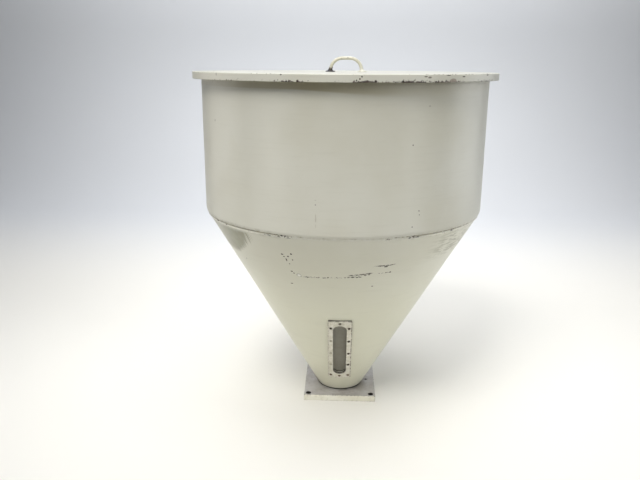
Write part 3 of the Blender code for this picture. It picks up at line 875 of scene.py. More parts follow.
def enamel(name, kind, light=1.0):
    """Cream-grey enamel over steel. kind chooses the wear that the piece has, and the painted light and shade on
    the barrel and cone; light makes the paint lighter or darker per piece, as painted light and shade.
    """
    s = Shade(name)
    x, y, z = s.parts()
    a = s.angle()
    big = s.noise(5.5, 3, 0.5)
    mid = s.noise(38, 4, 0.6)
    fine = s.noise(420, 2, 0.5)
    rag = s.noise(260, 4, 0.65)
    # broad clouds of yellower and greyer paint
    col = s.mix(s.ease(big, 0.34, 0.68), CREAM_A, CREAM_B)
    col = s.mix(s.mul(s.ease(mid, 0.42, 0.78), 0.10), col, CREAM_C)
    if kind == "cone":
        # painted bounce light from the floor: the paint lighter and yellower, more so towards the foot
        col = s.mix(s.ease(z, 0.40, 0.20, 0.25, 0.75), col, lin(213, 212, 190))
    # faint level streaks where the sheet was wiped and sprayed
    streak = s.noise(3.2, 5, 0.6, vec=s.scaled(3.9, 3.9, 60.0 if kind != "cone" else 26.0))
    col = s.mix(s.mul(s.ease(streak, 0.5, 0.78), 0.055), col, GRIME)
    col = s.mix(s.mul(s.ease(streak, 0.46, 0.22), 0.06), col, CREAM_C)
    # dust specks
    sp = s.cells(310)
    speck = s.mul(s.ease(sp.outputs["Distance"], 0.20, 0.10),
                  s.ease(s.noise(17, 3, 0.6), 0.58, 0.68))
    col = s.mix(s.mul(speck, 0.20), col, GRIME)
    # hair scratches, short and mostly level
    sv = s.vec(s.mul(a, 16.0), s.mul(z, 420.0), 0.0)
    scr = s.ease(s.noise(1.0, 6, 0.62, vec=sv, warp=0.2), 0.735, 0.775)
    scr = s.mul(scr, s.ease(s.noise(9, 2, 0.5), 0.50, 0.62))
    col = s.mix(s.mul(scr, 0.16), col, lin(132, 126, 112))
    chip = None          # bare patches
    dirt = None          # dirt, with painted shade under the lid and in the corner at the cone's foot
    halo = None
    wide = s.noise(70, 5, 0.68)
    if kind == "barrel":
        # a few pinhead knocks in columns, some old drips
        marks = [(-9.3, 0.4805, 0.0010, 0.0008), (-9.2, 0.4730, 0.0011, 0.0011),
                 (-55.1, 0.599, 0.0013, 0.0022), (29.9, 0.632, 0.0016, 0.0012),
                 (24.0, 0.570, 0.0014, 0.0014), (27.6, 0.459, 0.0016, 0.0014),
                 (27.8, 0.452, 0.0012, 0.0010), (25.1, 0.432, 0.0016, 0.0012),
                 (120.0, 0.560, 0.0030, 0.0012), (143.0, 0.500, 0.0018, 0.0020),
                 (-131.0, 0.610, 0.0022, 0.0014), (-98.0, 0.470, 0.0020, 0.0012),
                 (84.0, 0.590, 0.0014, 0.0020)]
        soft = s.top(*[s.spot(a, z, *m, rag=s.mul(s.sub(rag, 0.5), 2.4)) for m in marks])
        chip = s.mul(soft, s.ease(rag, 0.40, 0.60), 0.85)
        halo = s.mul(soft, 0.45)
        drip = s.mul(s.spot(a, z, -9.1, 0.4460, 0.0011, 0.0125, s.mul(s.sub(rag, 0.5), 1.2)),
                     s.ease(s.noise(1.0, 3, 0.6, vec=s.scaled(60, 60, 190)), 0.34, 0.60))
        col = s.mix(s.mul(drip, 0.42), col, lin(142, 130, 112))
        # darker just above the weld on the left shoulder and at the back, half as much on the right
        side = s.top(s.span(a, -105, -34, 16), s.mul(s.span(a, 36, 100, 18), 0.5), s.span(a, 130, 170, 12), 0.0)
        low = s.ease(z, LIP_Z + 0.0070, LIP_Z + 0.0002)
        dirt = s.mul(low, side, s.ease(s.noise(75, 4, 0.7), 0.44, 0.64), 0.45)
        # the lip's edge darker where the weld's groove meets it, on the same sides
        lip = s.mul(s.ease(z, LIP_Z + 0.0014, LIP_Z + 0.0003), s.ease(s.noise(150, 4, 0.7), 0.40, 0.60))
        dirt = s.top(dirt, s.mul(lip, side, 0.75))
        # painted shade: a faint patchy darker band just under the lid
        under_lid_dark = s.mul(s.ease(z, RIM_Z - 0.030, RIM_Z - 0.008), s.ease(mid, 0.46, 0.62))
        dirt = s.top(dirt, s.mul(under_lid_dark, 0.16))
        # painted shadow of the lid's overhang: a warm darker band on the barrel under the lid, with a clear lower
        # edge at the front
        edge = s.ramp(s.rescale(a, -pi, pi, 0.0, 1.0), [((d + 180) / 360, v) for d, v in (
            (-180, .50), (-70, .55), (-44, .575), (-16, .54), (-9, .435), (0, .29), (12, .15),
            (30, .10), (90, .50))])
        level = s.add(s.math("MULTIPLY", edge, 0.020), 0.6470, s.mul(s.sub(mid, 0.5), 0.0010))
        blur = s.ramp(s.rescale(a, -pi, pi, 0.0, 1.0), [((d + 180) / 360, v) for d, v in (
            (-180, .40), (-60, .20), (-44, .11), (0, .16), (10, .40), (30, .90), (60, .60), (180, .40))])
        gap = s.math("DIVIDE", s.sub(z, level), s.math("MULTIPLY", blur, 0.010))
        lid_shadow_strength = s.ramp(s.rescale(a, -pi, pi, 0.0, 1.0), [((d + 180) / 360, v) for d, v in (
            (-180, .35), (-75, .35), (-48, .55), (-36, .80), (-12, 1.0), (2, .85), (22, .50),
            (45, .20), (100, .35))])
        lid_shadow = s.mul(s.ease(gap, -1.0, 1.0), lid_shadow_strength)
        col = s.mix(lid_shadow, col, s.mix(1.0, col, (0.79, 0.74, 0.61, 1.0), "MULTIPLY"))
    if kind == "cone":
        # two rows of scuffs where something rubbed round the cone
        def row(z0, half, a0, a1, cut0, cut1, drift=0.0):
            zz = s.add(z, s.mul(s.sub(wide, 0.5), 0.006), s.mul(a, drift))
            near = s.ease(s.math("ABSOLUTE", s.sub(zz, z0)), half, half * 0.45)
            span = s.mul(s.ease(a, radians(a0) - 0.02, radians(a0) + 0.02),
                         s.ease(a, radians(a1) + 0.02, radians(a1) - 0.02))
            v = s.vec(s.mul(a, 42.0), s.mul(z, 260.0), 0.0)
            n = s.noise(1.0, 5, 0.7, vec=v)
            return s.mul(near, span, s.ease(n, cut0, cut1))
        r1 = row(0.3313, 0.0016, -18.5, 10.2, 0.50, 0.56, -0.010)
        r2 = row(0.3335, 0.0017, 3.6, 13.2, 0.41, 0.47, -0.030)
        r3 = row(0.3520, 0.0014, 13.8, 22.6, 0.44, 0.50, -0.012)
        r4 = row(0.3390, 0.0012, 16.5, 22.6, 0.50, 0.55)
        marks = [(-24.5, 0.3738, 0.0026, 0.0014), (-24.0, 0.3690, 0.0018, 0.0012),
                 (-22.0, 0.3705, 0.0020, 0.0015), (-20.3, 0.3767, 0.0020, 0.0016),
                 (-23.3, 0.3625, 0.0013, 0.0032), (-20.4, 0.3640, 0.0012, 0.0014),
                 (-22.4, 0.3540, 0.0012, 0.0010), (-22.6, 0.3372, 0.0022, 0.0012),
                 (-21.7, 0.3335, 0.0020, 0.0012), (5.0, 0.3322, 0.0030, 0.0014),
                 (7.0, 0.3318, 0.0022, 0.0012), (10.6, 0.3362, 0.0026, 0.0010),
                 (12.2, 0.3372, 0.0020, 0.0010), (19.0, 0.3530, 0.0036, 0.0012),
                 (21.9, 0.3396, 0.0020, 0.0013), (15.0, 0.3095, 0.0018, 0.0010),
                 (-24.8, 0.3076, 0.0026, 0.0010), (-50.3, 0.3398, 0.0014, 0.0012),
                 (95.0, 0.250, 0.0030, 0.0016), (131.0, 0.330, 0.0042, 0.0012),
                 (-118.0, 0.295, 0.0036, 0.0015), (172.0, 0.190, 0.0020, 0.0024)]
        soft = s.top(r1, r2, r3, r4, *[
            s.spot(a, z, *m, rag=s.mul(s.sub(rag, 0.5), 2.6)) for m in marks])
        chip = s.mul(soft, s.ease(rag, 0.30, 0.46))
        halo = s.mul(soft, 0.5)
        # the ring-shaped blister
        ring = s.spot(a, z, -19.5, 0.3301, 0.0046, 0.0036, s.mul(s.sub(rag, 0.5), 0.8))
        core = s.spot(a, z, -19.5, 0.3301, 0.0034, 0.0025, s.mul(s.sub(rag, 0.5), 0.9))
        chip = s.top(chip, s.mul(s.sub(ring, core), s.ease(wide, 0.38, 0.55), 0.9))
        col = s.mix(s.mul(core, 0.75), col, lin(226, 225, 218))
        # painted reflections on the shoulders: a soft dark patch with a ragged upright edge on the left,
        # level dark streaks on the right, a little at the back
        reflection_runs = s.noise(1.0, 4, 0.6, vec=s.vec(s.mul(a, 150.0), s.mul(z, 22.0), 3.0))
        cloud = s.noise(34, 4, 0.6)
        dz = s.sub(0.409, z)
        inner = s.sub(radians(-37.5), s.mul(dz, dz, 86.0))
        inner = s.add(inner, s.mul(s.sub(reflection_runs, 0.5), radians(15.0)))
        left = s.mul(s.ease(s.sub(a, inner), radians(1.0), radians(-3.0)),
                     s.ease(a, radians(-116), radians(-66)), s.ease(s.sub(a, inner), -0.45, -0.10, 0.55, 1.0),
                     s.ease(z, 0.345, 0.360),
                     s.ease(z, 0.4105, 0.4040), s.ease(cloud, 0.20, 0.56, 0.5, 1.0))
        reflection_streaks = s.noise(1.0, 4, 0.6, vec=s.vec(s.mul(a, 9.0), s.mul(s.add(z, s.mul(a, 0.012)), 230.0), 7.0))
        right = s.mul(s.ease(a, radians(34), radians(50)), s.ease(a, radians(112), radians(66)),
                      s.ease(z, 0.346, 0.372), s.ease(z, 0.4105, 0.402),
                      s.ease(s.add(reflection_streaks, s.mul(s.sub(cloud, 0.5), 0.5)), 0.42, 0.62))
        back = s.mul(s.top(s.span(a, -170, -122, 14), s.span(a, 122, 172, 14)), s.ease(z, 0.372, 0.400),
                     s.ease(s.add(reflection_runs, s.mul(cloud, 0.5)), 0.70, 0.95))
        shoulder_reflection = s.top(s.mul(left, 0.90), s.mul(right, 0.72), s.mul(back, 0.35))
        col = s.mix(shoulder_reflection, col, s.mix(s.ease(cloud, 0.36, 0.64), SHOULDER_REFLECTION, lin(136, 134, 108)))
        # darker just below the weld on both shoulders, faintly all round
        low = s.ease(z, CT - 0.0080, CT - 0.0010)
        side = s.top(s.span(a, -110, -30, 16), s.span(a, 30, 110, 16), 0.12)
        dirt = s.mul(low, side, s.ease(s.noise(95, 4, 0.7), 0.42, 0.64), 0.35)
        # painted shade: a black line in the corner where the foot meets the plate, full within 54 degrees of the
        # front and 0.45 of it beyond 66
        foot = s.ease(s.add(z, s.mul(s.sub(mid, 0.5), 0.0009)), PLATE_T + 0.0033, PLATE_T + 0.0025)
        foot = s.mul(foot, s.ease(s.math("ABSOLUTE", a), radians(66), radians(54), 0.45, 1.0))
        dirt = s.top(dirt, s.mul(foot, 0.96))
        # rust that weeps from under the window plate
        wx = s.math("ABSOLUTE", s.sub(x, WIN_X))
        weep = s.mul(s.ease(wx, 0.0262, 0.0228),
                     s.ease(z, 0.046, 0.056), s.ease(z, 0.232, 0.216),
                     s.ease(s.noise(160, 4, 0.7), 0.46, 0.64), s.ease(y, 0.0, -0.02))
        dirt = s.top(dirt, s.mul(weep, 0.30))
        # painted shade: the slot's cut faces near black inside
        u = s.mul(s.sub(s.math("SQRT", s.add(s.mul(x, x), s.mul(y, y))), FOOT_R), 1 / sin(SLOPE))
        dv = s.math("MAXIMUM", s.sub(s.math("ABSOLUTE", s.sub(u, SLOT_S)), SLOT_H / 2 - SLOT_W / 2), 0.0)
        dd = s.math("SQRT", s.add(s.mul(dv, dv), s.mul(wx, wx)))
        slot_shade = s.mul(s.ease(dd, SLOT_W / 2 + 0.0012, SLOT_W / 2 + 0.0003), s.ease(y, 0.0, -0.02))
    if kind == "band":
        # knocked lower edge: how thickly the chips lie, by angle from the front
        stops = [(-180, .30), (-140, .50), (-122, .20), (-95, .42), (-70, .12), (-52, .16),
                 (-40, .46), (-36, .42), (-33, .20), (-31, .48), (-27.5, .42), (-24, .20),
                 (-19.5, .66), (-14, .62), (-11, .34), (-6, .16), (1.8, .22), (3.2, .86),
                 (9.2, .90), (10.4, .48), (14, .58), (16.4, .34), (17.6, .92), (22.5, .84),
                 (26, .55), (31, .72), (37, .66), (44, .30), (56, .66), (70, .16), (110, .50),
                 (150, .22)]
        dens = s.ramp(s.rescale(a, -pi, pi, 0.0, 1.0), [((d + 180) / 360, v) for d, v in stops])
        lowz = LID_Z - BAND_H
        e1 = s.ease(z, lowz + 0.0064, lowz + 0.0002)
        n = s.add(s.mul(s.noise(560, 3, 0.6), 0.85), s.mul(s.noise(240, 2, 0.5), 0.85), -0.35)
        raw = s.add(n, s.mul(dens, e1, 0.48))
        chip = s.mul(s.ease(raw, 0.790, 0.815), s.ease(e1, 0.02, 0.20))
        halo = s.mul(s.ease(raw, 0.730, 0.790), 0.7)
        # smaller knocks along the upper edge
        e2 = s.ease(z, LID_Z - 0.0022, LID_Z - 0.0002)
        dens2 = s.ramp(s.rescale(a, -pi, pi, 0.0, 1.0), [((d + 180) / 360, v) for d, v in (
            (-180, .3), (-120, .45), (-80, .1), (-48, .5), (-44, .2), (-20.5, .7), (-18, .3),
            (0, .12), (20, .25), (32, .75), (36, .7), (39, .3), (42, .6), (50, .35), (56, .8),
            (62, .4), (100, .2), (150, .5))])
        c2 = s.mul(s.ease(s.add(n, s.mul(dens2, e2, 0.36)), 0.800, 0.825), s.ease(e2, 0.02, 0.2))
        chip = s.top(chip, c2)
        marks = [(34.3, 0.6803, 0.0046, 0.0006), (55.8, 0.6800, 0.0036, 0.0007),
                 (3.6, 0.6724, 0.0011, 0.0013), (4.2, 0.6709, 0.0012, 0.0012),
                 (5.2, 0.6782, 0.0011, 0.0014), (4.6, 0.6745, 0.0012, 0.0014),
                 (41.1, 0.6780, 0.0034, 0.0009), (-46.8, 0.6793, 0.0007, 0.0026),
                 (-19.6, 0.6802, 0.0016, 0.0009)]
        chip = s.top(chip, s.mul(s.top(*[s.spot(a, z, *m, rag=s.mul(s.sub(rag, 0.5), 2.6))
                                         for m in marks]), s.ease(rag, 0.28, 0.42)))
        # one broad scraped patch down to the primer
        patch = s.spot(a, z, 36.3, 0.6718, 0.0076, 0.0036, s.mul(s.sub(wide, 0.5), 1.1))
        scuff = s.top(s.spot(a, z, 25.6, 0.6784, 0.0036, 0.0013, s.mul(s.sub(rag, 0.5), 2.0)),
                      s.spot(a, z, 27.0, 0.6770, 0.0032, 0.0015, s.mul(s.sub(rag, 0.5), 2.0)))
        col = s.mix(s.mul(scuff, 0.85), col, lin(104, 98, 86))
        chip = s.mul(chip, s.sub(1.0, s.mul(patch, 0.8)))
        dirt = s.mul(s.ease(z, lowz + 0.0016, lowz), s.ease(mid, 0.40, 0.62), 0.40)
        # paint rubbed through along the lower edge on the right
        thin = s.mul(s.ease(z, lowz + 0.0016, lowz + 0.0004), s.span(a, 30, 57, 3),
                     s.ease(s.noise(310, 4, 0.7), 0.42, 0.52))
        col = s.mix(s.mul(s.top(s.mul(patch, 0.85), s.mul(thin, 0.55)), s.ease(rag, 0.20, 0.40, 0.6, 1.0)),
                    col, lin(142, 130, 118))
    if kind == "lid":
        r = s.math("SQRT", s.add(s.mul(x, x), s.mul(y, y)))
        # knocks by the edge, rub marks round the handle, dust lying on top
        e1 = s.ease(r, LID_R - 0.030, LID_R - 0.004)
        n = s.add(s.mul(rag, 0.5), s.mul(s.noise(95, 3, 0.6), 0.5))
        chip = s.ease(s.add(n, s.mul(e1, 0.17)), 0.76, 0.80)
        dust = s.ease(s.noise(11, 5, 0.65), 0.40, 0.72)
        col = s.mix(s.mul(dust, 0.34), col, lin(176, 171, 157))
        # level scratches of things slid across it
        for k, (ang, cut) in enumerate(((0.5, 0.76), (2.1, 0.77), (1.3, 0.775))):
            u = s.add(s.mul(x, cos(ang)), s.mul(y, sin(ang)))
            v = s.add(s.mul(x, -sin(ang)), s.mul(y, cos(ang)))
            m = s.ease(s.noise(1.0, 5, 0.6, vec=s.vec(s.mul(u, 7.0), s.mul(v, 330.0), 3.0 * k),
                               warp=0.15), cut, cut + 0.03)
            col = s.mix(s.mul(m, 0.45), col, lin(148, 142, 128))
        dirt = s.top(s.mul(s.ease(r, LID_R - 0.0060, LID_R - 0.0034),
                           s.ease(s.noise(60, 4, 0.7), 0.36, 0.60), 0.7),
                     s.mul(s.ease(r, 0.060, 0.030), s.ease(mid, 0.48, 0.66), 0.30))
    if kind == "rim":
        r = s.math("SQRT", s.add(s.mul(x, x), s.mul(y, y)))
        worn = s.mul(s.ease(z, RIM_Z - 0.0008, RIM_Z - 0.0002),
                     s.ease(s.noise(60, 5, 0.7), 0.47, 0.55))
        edge = s.mul(s.ease(r, FLANGE_OUT - 0.0014, FLANGE_OUT - 0.0003),
                     s.ease(s.noise(90, 5, 0.7), 0.44, 0.52))
        chip = s.top(s.mul(worn, 0.8), edge)
        dirt = s.mul(s.ease(mid, 0.45, 0.65), 0.35)
    if kind == "handle":
        col = s.mix(0.25, col, lin(214, 207, 176))
        worn = s.mul(s.ease(z, LID_Z + 0.0225, LID_Z + 0.0265), s.ease(s.noise(260, 4, 0.7), 0.60, 0.65))
        low = s.mul(s.ease(z, LID_Z + 0.012, LID_Z + 0.004), s.ease(s.noise(320, 4, 0.7), 0.58, 0.64))
        chip = s.mul(s.top(worn, low), 0.8)
        dirt = s.mul(s.ease(s.noise(160, 4, 0.7), 0.50, 0.72), 0.35)
    # bare metal, rusted, with the paint's broken edge round it
    under = s.mix(s.ease(s.noise(180, 4, 0.7), 0.42, 0.62), RUST_DARK, RUST)
    under = s.mix(s.mul(s.ease(s.noise(90, 3, 0.6), 0.56, 0.66), 0.5), under, STEEL)
    # olive grey over the dirt mask, which also holds painted shade: under the lid on the barrel, in the corner at
    # the cone's foot
    if dirt is not None:
        col = s.mix(dirt, col, s.mix(s.ease(mid, 0.40, 0.62), lin(96, 91, 66), lin(122, 116, 88)))
    if kind == "cone":
        # painted shade in near black: the corner at the foot and the slot's cut faces
        col = s.mix(s.mul(foot, 0.97), col, lin(24, 23, 21))
        col = s.mix(s.mul(slot_shade, 0.96), col, lin(26, 23, 20))
    if halo is not None:
        col = s.mix(s.mul(halo, 0.40), col, PRIMER)
    col = s.mix(chip, col, under)
    # painted light and shade: light makes this enamel lighter or darker for one piece
    if light != 1.0:
        k = s.node("ShaderNodeHueSaturation")
        k.inputs["Value"].default_value = light
        s.put(k.inputs["Color"], col)
        col = k.outputs[0]
    rough = s.rescale(mid, 0.3, 0.7, 0.29, 0.36)
    if dirt is not None:
        rough = s.math("ADD", rough, s.mul(dirt, 0.30), clamp=True)
    if kind == "cone":
        rough = s.math("ADD", rough, s.mul(slot_shade, 0.55), clamp=True)
    rough = s.math("ADD", rough, s.mul(chip, 0.42), clamp=True)
    h = s.add(s.mul(fine, 0.26), s.mul(streak, 0.22), s.mul(chip, -1.6), s.mul(speck, 0.22),
              s.mul(scr, -0.25), s.mul(s.noise(120, 3, 0.6), 0.26))
    s.set(Base_Color=col, Roughness=rough, Normal=s.bump(h, 0.00010, 0.55))
    s.bsdf.inputs["IOR"].default_value = 1.5
    return s.mat


def weld_paint(name):
    s = Shade(name)
    mid = s.noise(90, 4, 0.65)
    col = s.mix(s.ease(mid, 0.40, 0.64), CREAM_A, lin(170, 163, 142))
    dirt = s.ease(s.noise(150, 5, 0.7), 0.48, 0.62)
    col = s.mix(s.mul(dirt, 0.55), col, lin(104, 94, 70))
    n = s.ease(s.noise(230, 4, 0.7), 0.63, 0.67)
    col = s.mix(n, col, s.mix(s.ease(s.noise(300, 2, 0.5), 0.4, 0.6), RUST_DARK, RUST))
    h = s.add(s.mul(s.noise(420, 3, 0.6), 0.6), s.mul(n, -0.8))
    s.set(Base_Color=col, Roughness=s.rescale(dirt, 0, 1, 0.30, 0.58), Normal=s.bump(h, 0.00015, 0.6))
    return s.mat


def seam_paint():
    """The bead between barrel and cone: the groove above it darker, most on the shoulders."""
    s = Shade("seam_paint")
    x, y, z = s.parts()
    a = s.angle()
    mid = s.noise(110, 4, 0.65)
    col = s.mix(s.ease(mid, 0.40, 0.64), CREAM_A, CREAM_B)
    side = s.top(s.mul(s.ease(a, radians(-10), radians(-36)), s.ease(a, radians(-118), radians(-80))),
                 s.mul(s.ease(a, radians(12), radians(32)), s.ease(a, radians(62), radians(44), 0.2, 1.0),
                       0.6), 0.0)
    groove = s.ease(z, LIP_Z - 0.0026, LIP_Z - 0.0012)
    n = s.noise(140, 4, 0.7)
    dirt = s.mul(groove, s.ease(s.add(n, s.mul(side, 0.46)), 0.52, 0.78))
    col = s.mix(s.mul(dirt, 0.80), col, s.mix(s.ease(mid, 0.4, 0.6), lin(98, 92, 66), lin(136, 129, 96)))
    # painted highlight: the bead's crown lighter on the shoulders
    crown_highlight = s.mul(s.ease(z, LIP_Z - 0.0026, LIP_Z - 0.0034), s.ease(z, LIP_Z - 0.0062, LIP_Z - 0.0050),
                  s.top(s.span(a, -62, -36, 8), s.span(a, 38, 62, 8)), s.ease(n, 0.36, 0.56))
    col = s.mix(s.mul(crown_highlight, 0.8), col, lin(232, 230, 216))
    # darker below the bead's crown on the shoulders
    skirt = s.mul(s.ease(z, LIP_Z - 0.0046, LIP_Z - 0.0058), side, s.ease(n, 0.42, 0.62))
    col = s.mix(s.mul(skirt, 0.35), col, lin(128, 120, 92))
    # rust pricks where the bead stands proud
    v = s.vec(s.mul(a, 60.0), s.mul(z, 300.0), 0.0)
    dens = s.ramp(s.rescale(a, -pi, pi, 0.0, 1.0), [((d + 180) / 360, q) for d, q in (
        (-180, .35), (-120, .20), (-70, .25), (-50, .20), (-29, .35), (-27.5, .75), (-25, .35),
        (-23, .80), (-18.5, .78), (-16, .15), (0, .04), (14, .10), (16.4, .62), (18, .20),
        (23.5, .35), (25, .80), (28.5, .74), (31, .25), (43.5, .40), (45.5, .85), (47, .35),
        (70, .15), (120, .40), (150, .20))])
    prick = s.ease(s.add(s.noise(1.0, 4, 0.7, vec=v), s.mul(dens, 0.26)), 0.70, 0.75)
    rag = s.noise(340, 4, 0.65)
    knocks = s.top(*[s.spot(a, z, *m, rag=s.mul(s.sub(rag, 0.5), 2.4)) for m in (
        (-27.5, 0.4122, 0.0034, 0.0012), (-23.0, 0.4118, 0.0030, 0.0011), (-19.4, 0.4110, 0.0036, 0.0012),
        (16.4, 0.4130, 0.0034, 0.0014), (24.8, 0.4126, 0.0030, 0.0012), (27.7, 0.4128, 0.0044, 0.0013),
        (44.9, 0.4132, 0.0036, 0.0014), (-57.0, 0.4134, 0.0050, 0.0010), (-50.0, 0.4130, 0.0040, 0.0011))])
    prick = s.top(prick, s.mul(knocks, s.ease(rag, 0.36, 0.54)))
    col = s.mix(prick, col, s.mix(s.ease(mid, 0.4, 0.6), RUST_DARK, lin(70, 58, 46)))
    h = s.add(s.mul(s.noise(420, 3, 0.6), 0.5), s.mul(prick, -0.8))
    s.set(Base_Color=col, Roughness=s.rescale(dirt, 0, 1, 0.30, 0.60), Normal=s.bump(h, 0.00012, 0.6))
    return s.mat


def window_paint():
    """Thin painted plate, peppered with grime and worn along its edges."""
    s = Shade("window_paint")
    x, y, z = s.parts()
    rag = s.noise(420, 4, 0.65)
    mid = s.noise(120, 4, 0.6)
    col = s.mix(s.ease(mid, 0.38, 0.66), lin(214, 211, 198), lin(200, 196, 178))
    pep = s.cells(620)
    pepper = s.mul(s.ease(pep.outputs["Distance"], 0.34, 0.20), s.ease(mid, 0.44, 0.62))
    col = s.mix(s.mul(pepper, 0.30), col, lin(122, 112, 88))
    blot = s.ease(s.noise(210, 5, 0.7), 0.56, 0.70)
    col = s.mix(s.mul(blot, 0.30), col, lin(140, 131, 106))
    # rust-brown at the long edges, and a darker brown line down the right side, fainter down the left
    wx = s.sub(x, WIN_X)
    ax = s.math("ABSOLUTE", wx)
    edge = s.ease(ax, WIN_W / 2 - 0.0022, WIN_W / 2 - 0.0004)
    rim = s.mul(edge, s.ease(s.noise(260, 4, 0.7), 0.44, 0.60))
    col = s.mix(s.mul(rim, 0.40), col, lin(120, 98, 74))
    brown = s.mul(s.ease(wx, WIN_W / 2 - 0.0013, WIN_W / 2 - 0.0006),
                  s.ease(s.noise(1.0, 4, 0.7, vec=s.scaled(60, 60, 150)), 0.44, 0.54))
    brown = s.top(brown, s.mul(s.ease(wx, 0.0009 - WIN_W / 2, 0.0004 - WIN_W / 2),
                               s.ease(s.noise(1.0, 4, 0.7, vec=s.scaled(70, 70, 120)), 0.50, 0.60), 0.7))
    col = s.mix(s.mul(brown, 0.90), col, lin(74, 56, 44))
    # along the slope: the top end face darker, and painted shade on the slot's cut faces inside
    rr = s.math("SQRT", s.add(s.mul(x, x), s.mul(y, y)))
    lift = plate_lift + FRAME_T / 2
    up = s.mul(s.sub(rr, FOOT_R + lift * cos(SLOPE)), 1 / sin(SLOPE))
    top_face = s.ease(up, WIN_S + WIN_H / 2 - 0.0009, WIN_S + WIN_H / 2 - 0.0003)
    col = s.mix(s.mul(top_face, s.ease(s.noise(150, 3, 0.6), 0.40, 0.60, 0.2, 0.7)), col, lin(40, 35, 30))
    dv = s.math("MAXIMUM", s.sub(s.math("ABSOLUTE", s.sub(up, SLOT_S)), SLOT_H / 2 - SLOT_W / 2), 0.0)
    dd = s.math("SQRT", s.add(s.mul(dv, dv), s.mul(wx, wx)))
    slot_shade = s.ease(dd, SLOT_W / 2 + 0.0007, SLOT_W / 2 + 0.0002)
    col = s.mix(s.mul(slot_shade, 0.96), col, lin(26, 23, 20))
    by_slot = s.mul(s.ease(dd, SLOT_W / 2 + 0.0022, SLOT_W / 2 + 0.0006), s.ease(rag, 0.42, 0.58))
    col = s.mix(s.mul(by_slot, 0.35), col, lin(104, 96, 74))
    # dirt ring round each screw and round the slot
    rings = []
    for k, (ss, sx) in enumerate(SCREWS):
        p = cone_point(ss, sx, plate_lift + FRAME_T)[0]
        n = s.node("ShaderNodeVectorMath", operation="DISTANCE")
        s.put(n.inputs[0], s.co)
        n.inputs[1].default_value = tuple(p)
        rings.append(s.ease(n.outputs["Value"], 0.0046, 0.0030))
    ring = s.top(*rings)
    col = s.mix(s.mul(ring, s.ease(rag, 0.30, 0.60), s.ease(wx, -0.012, 0.012, 0.22, 0.50)),
                col, lin(88, 78, 60))
    chip = s.mul(s.top(edge, 0.15), s.ease(s.noise(330, 4, 0.7), 0.62, 0.66))
    col = s.mix(chip, col, RUST)
    h = s.add(s.mul(rag, 0.5), s.mul(chip, -1.0), s.mul(pepper, 0.3))
    s.set(Base_Color=col, Roughness=s.mix_value(slot_shade, s.rescale(blot, 0, 1, 0.34, 0.55), 0.90),
          Normal=s.bump(h, 0.00010, 0.6))
    return s.mat


